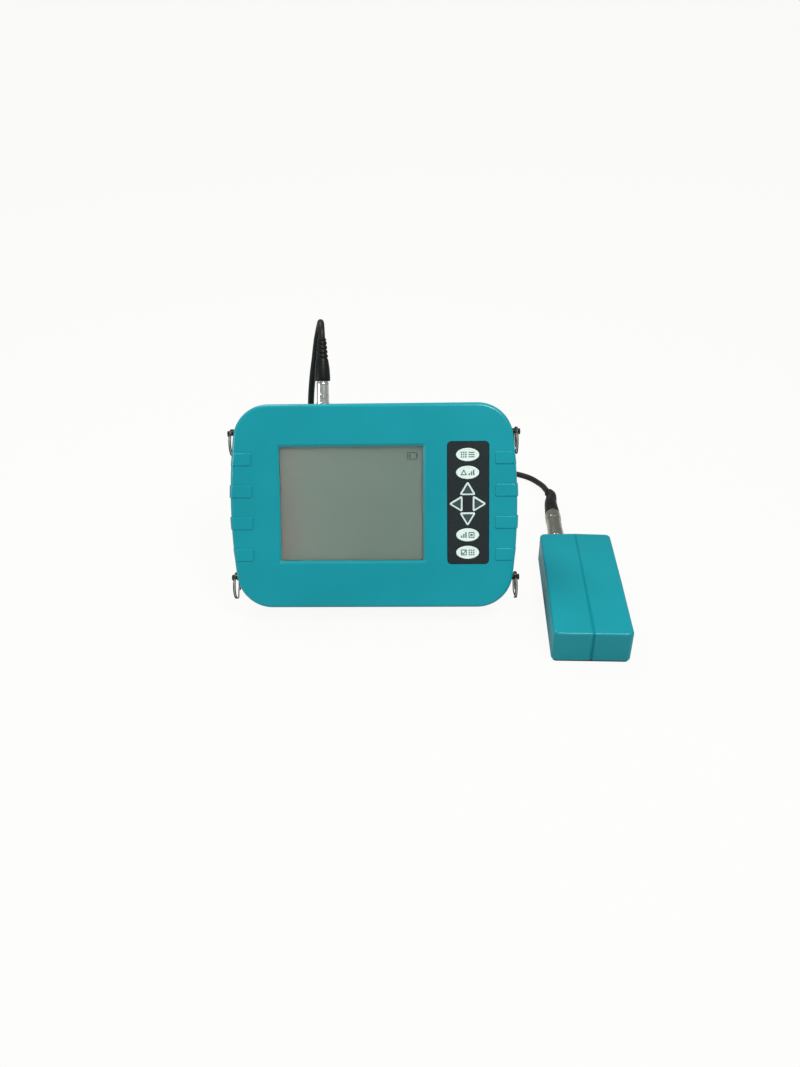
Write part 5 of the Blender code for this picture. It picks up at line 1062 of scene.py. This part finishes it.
def probe_body():
    """Block with round upright edges, whose top slopes away behind an arrow-shaped crease."""
    long = 0.1386
    wide = 0.0637
    high = 0.0309
    low = 0.0025
    ridge = 0.096
    drop = 0.0012
    shape = bmesh.new()
    shape.from_mesh(plate(rounded_sheet(wide, long, 0.0045, (0.0, long / 2)), low, high))
    for side in (-1, 1):
        apex = Vector((0.0, ridge, high))
        arm = Vector((side * wide / 2, 0.065, high)) - apex
        normal = arm.cross(Vector((0.0, long - ridge, -drop))) * -side
        if normal.z < 0:
            normal = -normal
        cut = bmesh.ops.bisect_plane(
            shape, geom=shape.verts[:] + shape.edges[:] + shape.faces[:], dist=1e-7,
            plane_co=apex, plane_no=normal.normalized(), clear_outer=True,
        )
        edges = [item for item in cut["geom_cut"] if isinstance(item, bmesh.types.BMEdge)]
        bmesh.ops.contextual_create(shape, geom=edges)
    bmesh.ops.recalc_face_normals(shape, faces=shape.faces)
    rim = []
    for edge in shape.edges:
        slopes = sorted(abs(face.normal.z) for face in edge.link_faces)
        upper = min(vert.co.z for vert in edge.verts) > (low + high) / 2
        if upper and len(slopes) == 2 and slopes[0] < 0.3 and slopes[1] > 0.8:
            rim.append(edge)
    bmesh.ops.bevel(
        shape, geom=rim, offset=0.0022, segments=8, profile=0.5, affect="EDGES",
        offset_type="OFFSET", clamp_overlap=True, material=-1,
    )
    depth = 0.0015
    groove = [(0.0, 0.0, low - depth), (0.0, 0.0, high), (0.0, ridge, high),
              (0.0, long, high - drop), (0.0, long, low - depth)]
    widths = (1.3, 1.05, 0.75, 0.75, 0.75)
    mesh = carved(as_mesh(shape), ("DIFFERENCE", curved_rod(groove, depth, widths, sides=0)))
    add_piece("probe_body", mesh, PROBE_PLACE, TEAL_PROBE_SHADED, "case",
              ["probe_housing"], soft=SMALL_RIM)
    inset = 0.0024
    sole = rounded_sheet(wide - inset, long - inset, 0.0033, (0.0, long / 2))
    add_piece("wear_sole", plate(sole, 0.0, 0.0022), PROBE_PLACE, SOLE_PLASTIC, "case",
              ["probe_sole"], soft=0.0004)


meter_plug()
probe_plug()
probe_body()


# Cable

DROP_ROUTE = [
    (-0.0868, 0.1014, 0.2059), (-0.0872, 0.1053, 0.2098), (-0.0878, 0.1106, 0.2117),
    (-0.0887, 0.1161, 0.2112), (-0.0897, 0.1209, 0.2084), (-0.0911, 0.1241, 0.2038),
    (-0.0928, 0.1257, 0.1975), (-0.0946, 0.1265, 0.1905), (-0.0964, 0.1270, 0.1814),
    (-0.0982, 0.1272, 0.1718), (-0.1018, 0.1272, 0.1530), (-0.1052, 0.1272, 0.1280),
    (-0.1064, 0.1271, 0.1000), (-0.1052, 0.1276, 0.0600), (-0.1017, 0.1286, 0.0320),
    (-0.0950, 0.1296, 0.0150), (-0.0850, 0.1301, 0.0060), (-0.0733, 0.1296, 0.0034),
    (-0.0608, 0.1276, 0.0031), (-0.0511, 0.1293, 0.0032), (-0.0458, 0.1378, 0.0036),
]
LEAD_ROUTE = [
    (0.0127, 0.1927, 0.0037), (0.0277, 0.1934, 0.0032), (0.0437, 0.1961, 0.0031),
    (0.0600, 0.2010, 0.0031), (0.0760, 0.2040, 0.0031), (0.0890, 0.2033, 0.0031),
    (0.0971, 0.2008, 0.0032), (0.1050, 0.1960, 0.0037), (0.1122, 0.1885, 0.0048),
    (0.1176, 0.1780, 0.0068), (0.1214, 0.1674, 0.0092), (0.1232, 0.1588, 0.0108),
]
METER_BOOT_END = (-0.0867, 0.10002, 0.20368)
PROBE_BOOT_END = (0.1251, 0.1501, 0.0124)
COIL_X = -0.0033
COIL_Y = 0.1531
COIL_OUTER = 0.0382
COIL_PITCH = 0.0059
COIL_LOW = 0.0012 + CABLE_RADIUS
COIL_TURNS = 5.25
POINTS_PER_TURN = 24


def coil_points():
    """Turns that wind inwards on the bench, then as many that wind outwards on top of them."""
    inward = COIL_TURNS / 2
    points = []
    for step in range(int(COIL_TURNS * POINTS_PER_TURN) + 1):
        turns = step / POINTS_PER_TURN
        angle = math.pi - 2 * math.pi * turns
        depth = turns if turns < inward else COIL_TURNS - turns
        radius = COIL_OUTER - COIL_PITCH * depth
        climb = min(1.0, max(0.0, (turns - inward + 0.15) / 0.3))
        height = COIL_LOW + COIL_PITCH * climb
        x = COIL_X + radius * math.cos(angle)
        points.append((x, COIL_Y + radius * math.sin(angle), height))
    return points


def dense_route(points, spacing):
    """Evenly spaced points on one smooth curve through the given ones."""
    ends = [points[0], *points, points[-1]]
    fine = []
    for index in range(1, len(ends) - 2):
        before, start, end, after = (Vector(ends[index + shift]) for shift in (-1, 0, 1, 2))
        steps = max(4, int((end - start).length / 0.0006))
        for step in range(steps):
            share = step / steps
            fine.append(0.5 * (
                2 * start + (end - before) * share
                + (2 * before - 5 * start + 4 * end - after) * share ** 2
                + (3 * start - before - 3 * end + after) * share ** 3
            ))
    fine.append(Vector(ends[-1]))
    kept = [fine[0]]
    gone = 0.0
    for first, second in zip(fine, fine[1:]):
        gone += (second - first).length
        if gone >= spacing:
            kept.append(second)
            gone = 0.0
    if (kept[-1] - fine[-1]).length < spacing / 2:
        kept.pop()
    kept.append(fine[-1])
    return kept


def probe_cable():
    lift_off = [(COIL_X + 0.0085, COIL_Y + 0.0400, 0.0082),
                (COIL_X + 0.0193, COIL_Y + 0.0407, 0.0052)]
    coil = coil_points()[1:]
    route = [METER_BOOT_END, *DROP_ROUTE, *coil, *lift_off, *LEAD_ROUTE[1:], PROBE_BOOT_END]
    curve, spline = round_curve("probe_cable", dense_route(route, 0.0022), CABLE_RADIUS, 5)
    spline.use_smooth = True
    cable = bpy.data.objects.new("probe_cable", curve)
    bpy.context.scene.collection.objects.link(cable)
    curve.materials.append(CABLE_JACKET)
    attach(cable, "case")
    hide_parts("cable_drop", "cable_coil", "cable_lead")


probe_cable()
probe_boot()


# Floor, backdrop light and lamps

def bench_floor():
    """Wide pale bench that the camera sees nearly white and that still takes shadows."""
    shape = bmesh.new()
    bmesh.ops.create_grid(shape, x_segments=1, y_segments=1, size=25.0)
    mesh = bpy.data.meshes.new("bench_floor")
    shape.to_mesh(mesh)
    shape.free()
    floor = bpy.data.objects.new("bench_floor", mesh)
    bpy.context.scene.collection.objects.link(floor)
    material, tree, shader = new_material("bench_floor")
    shader.inputs["Base Color"].default_value = (0.64, 0.63, 0.62, 1.0)
    shader.inputs["Roughness"].default_value = 0.9
    shader.inputs["Specular IOR Level"].default_value = 0.1
    glow = tree.nodes.new("ShaderNodeEmission")
    glow.inputs["Color"].default_value = (0.995, 0.993, 0.975, 1.0)
    glow.inputs["Strength"].default_value = 1.0
    glow_share = 0.945
    share = arithmetic(tree, "MULTIPLY", seen_directly(tree), glow_share)
    mix_shaders(tree, share, shader.outputs["BSDF"], glow.outputs["Emission"], "Material Output")
    mesh.materials.append(material)


def studio_world():
    """White where the camera looks, and a weaker even light on everything else."""
    world = bpy.data.worlds.new("studio")
    world.use_nodes = True
    tree = world.node_tree
    soft = tree.nodes["Background"]
    soft.inputs["Color"].default_value = (0.98, 0.99, 1.0, 1.0)
    soft.inputs["Strength"].default_value = 0.34
    white = tree.nodes.new("ShaderNodeBackground")
    white.inputs["Color"].default_value = (1.0, 0.998, 0.99, 1.0)
    white.inputs["Strength"].default_value = 1.0
    mix_shaders(tree, seen_directly(tree), soft.outputs["Background"], white.outputs["Background"],
                "World Output")
    bpy.context.scene.world = world


def soft_lamp(name, place, aim, size, power):
    light = bpy.data.lights.new(name, "AREA")
    light.shape = "DISK"
    light.size = size
    light.energy = power
    lamp = bpy.data.objects.new(name, light)
    lamp.location = place
    way = Vector(aim) - Vector(place)
    lamp.rotation_euler = way.to_track_quat("-Z", "Y").to_euler()
    bpy.context.scene.collection.objects.link(lamp)


bench_floor()
studio_world()
soft_lamp("front_lamp", (0.34, -0.38, 1.12), (0.0, 0.0, 0.08), 0.45, 11.5)
soft_lamp("side_lamp", (-0.84, -0.20, 0.30), (-0.12, 0.0, 0.10), 0.2, 1.6)
soft_lamp("back_lamp", (-0.40, 0.62, 1.10), (0.0, 0.0, 0.10), 0.35, 5.7)

bpy.context.scene.view_settings.view_transform = "Standard"
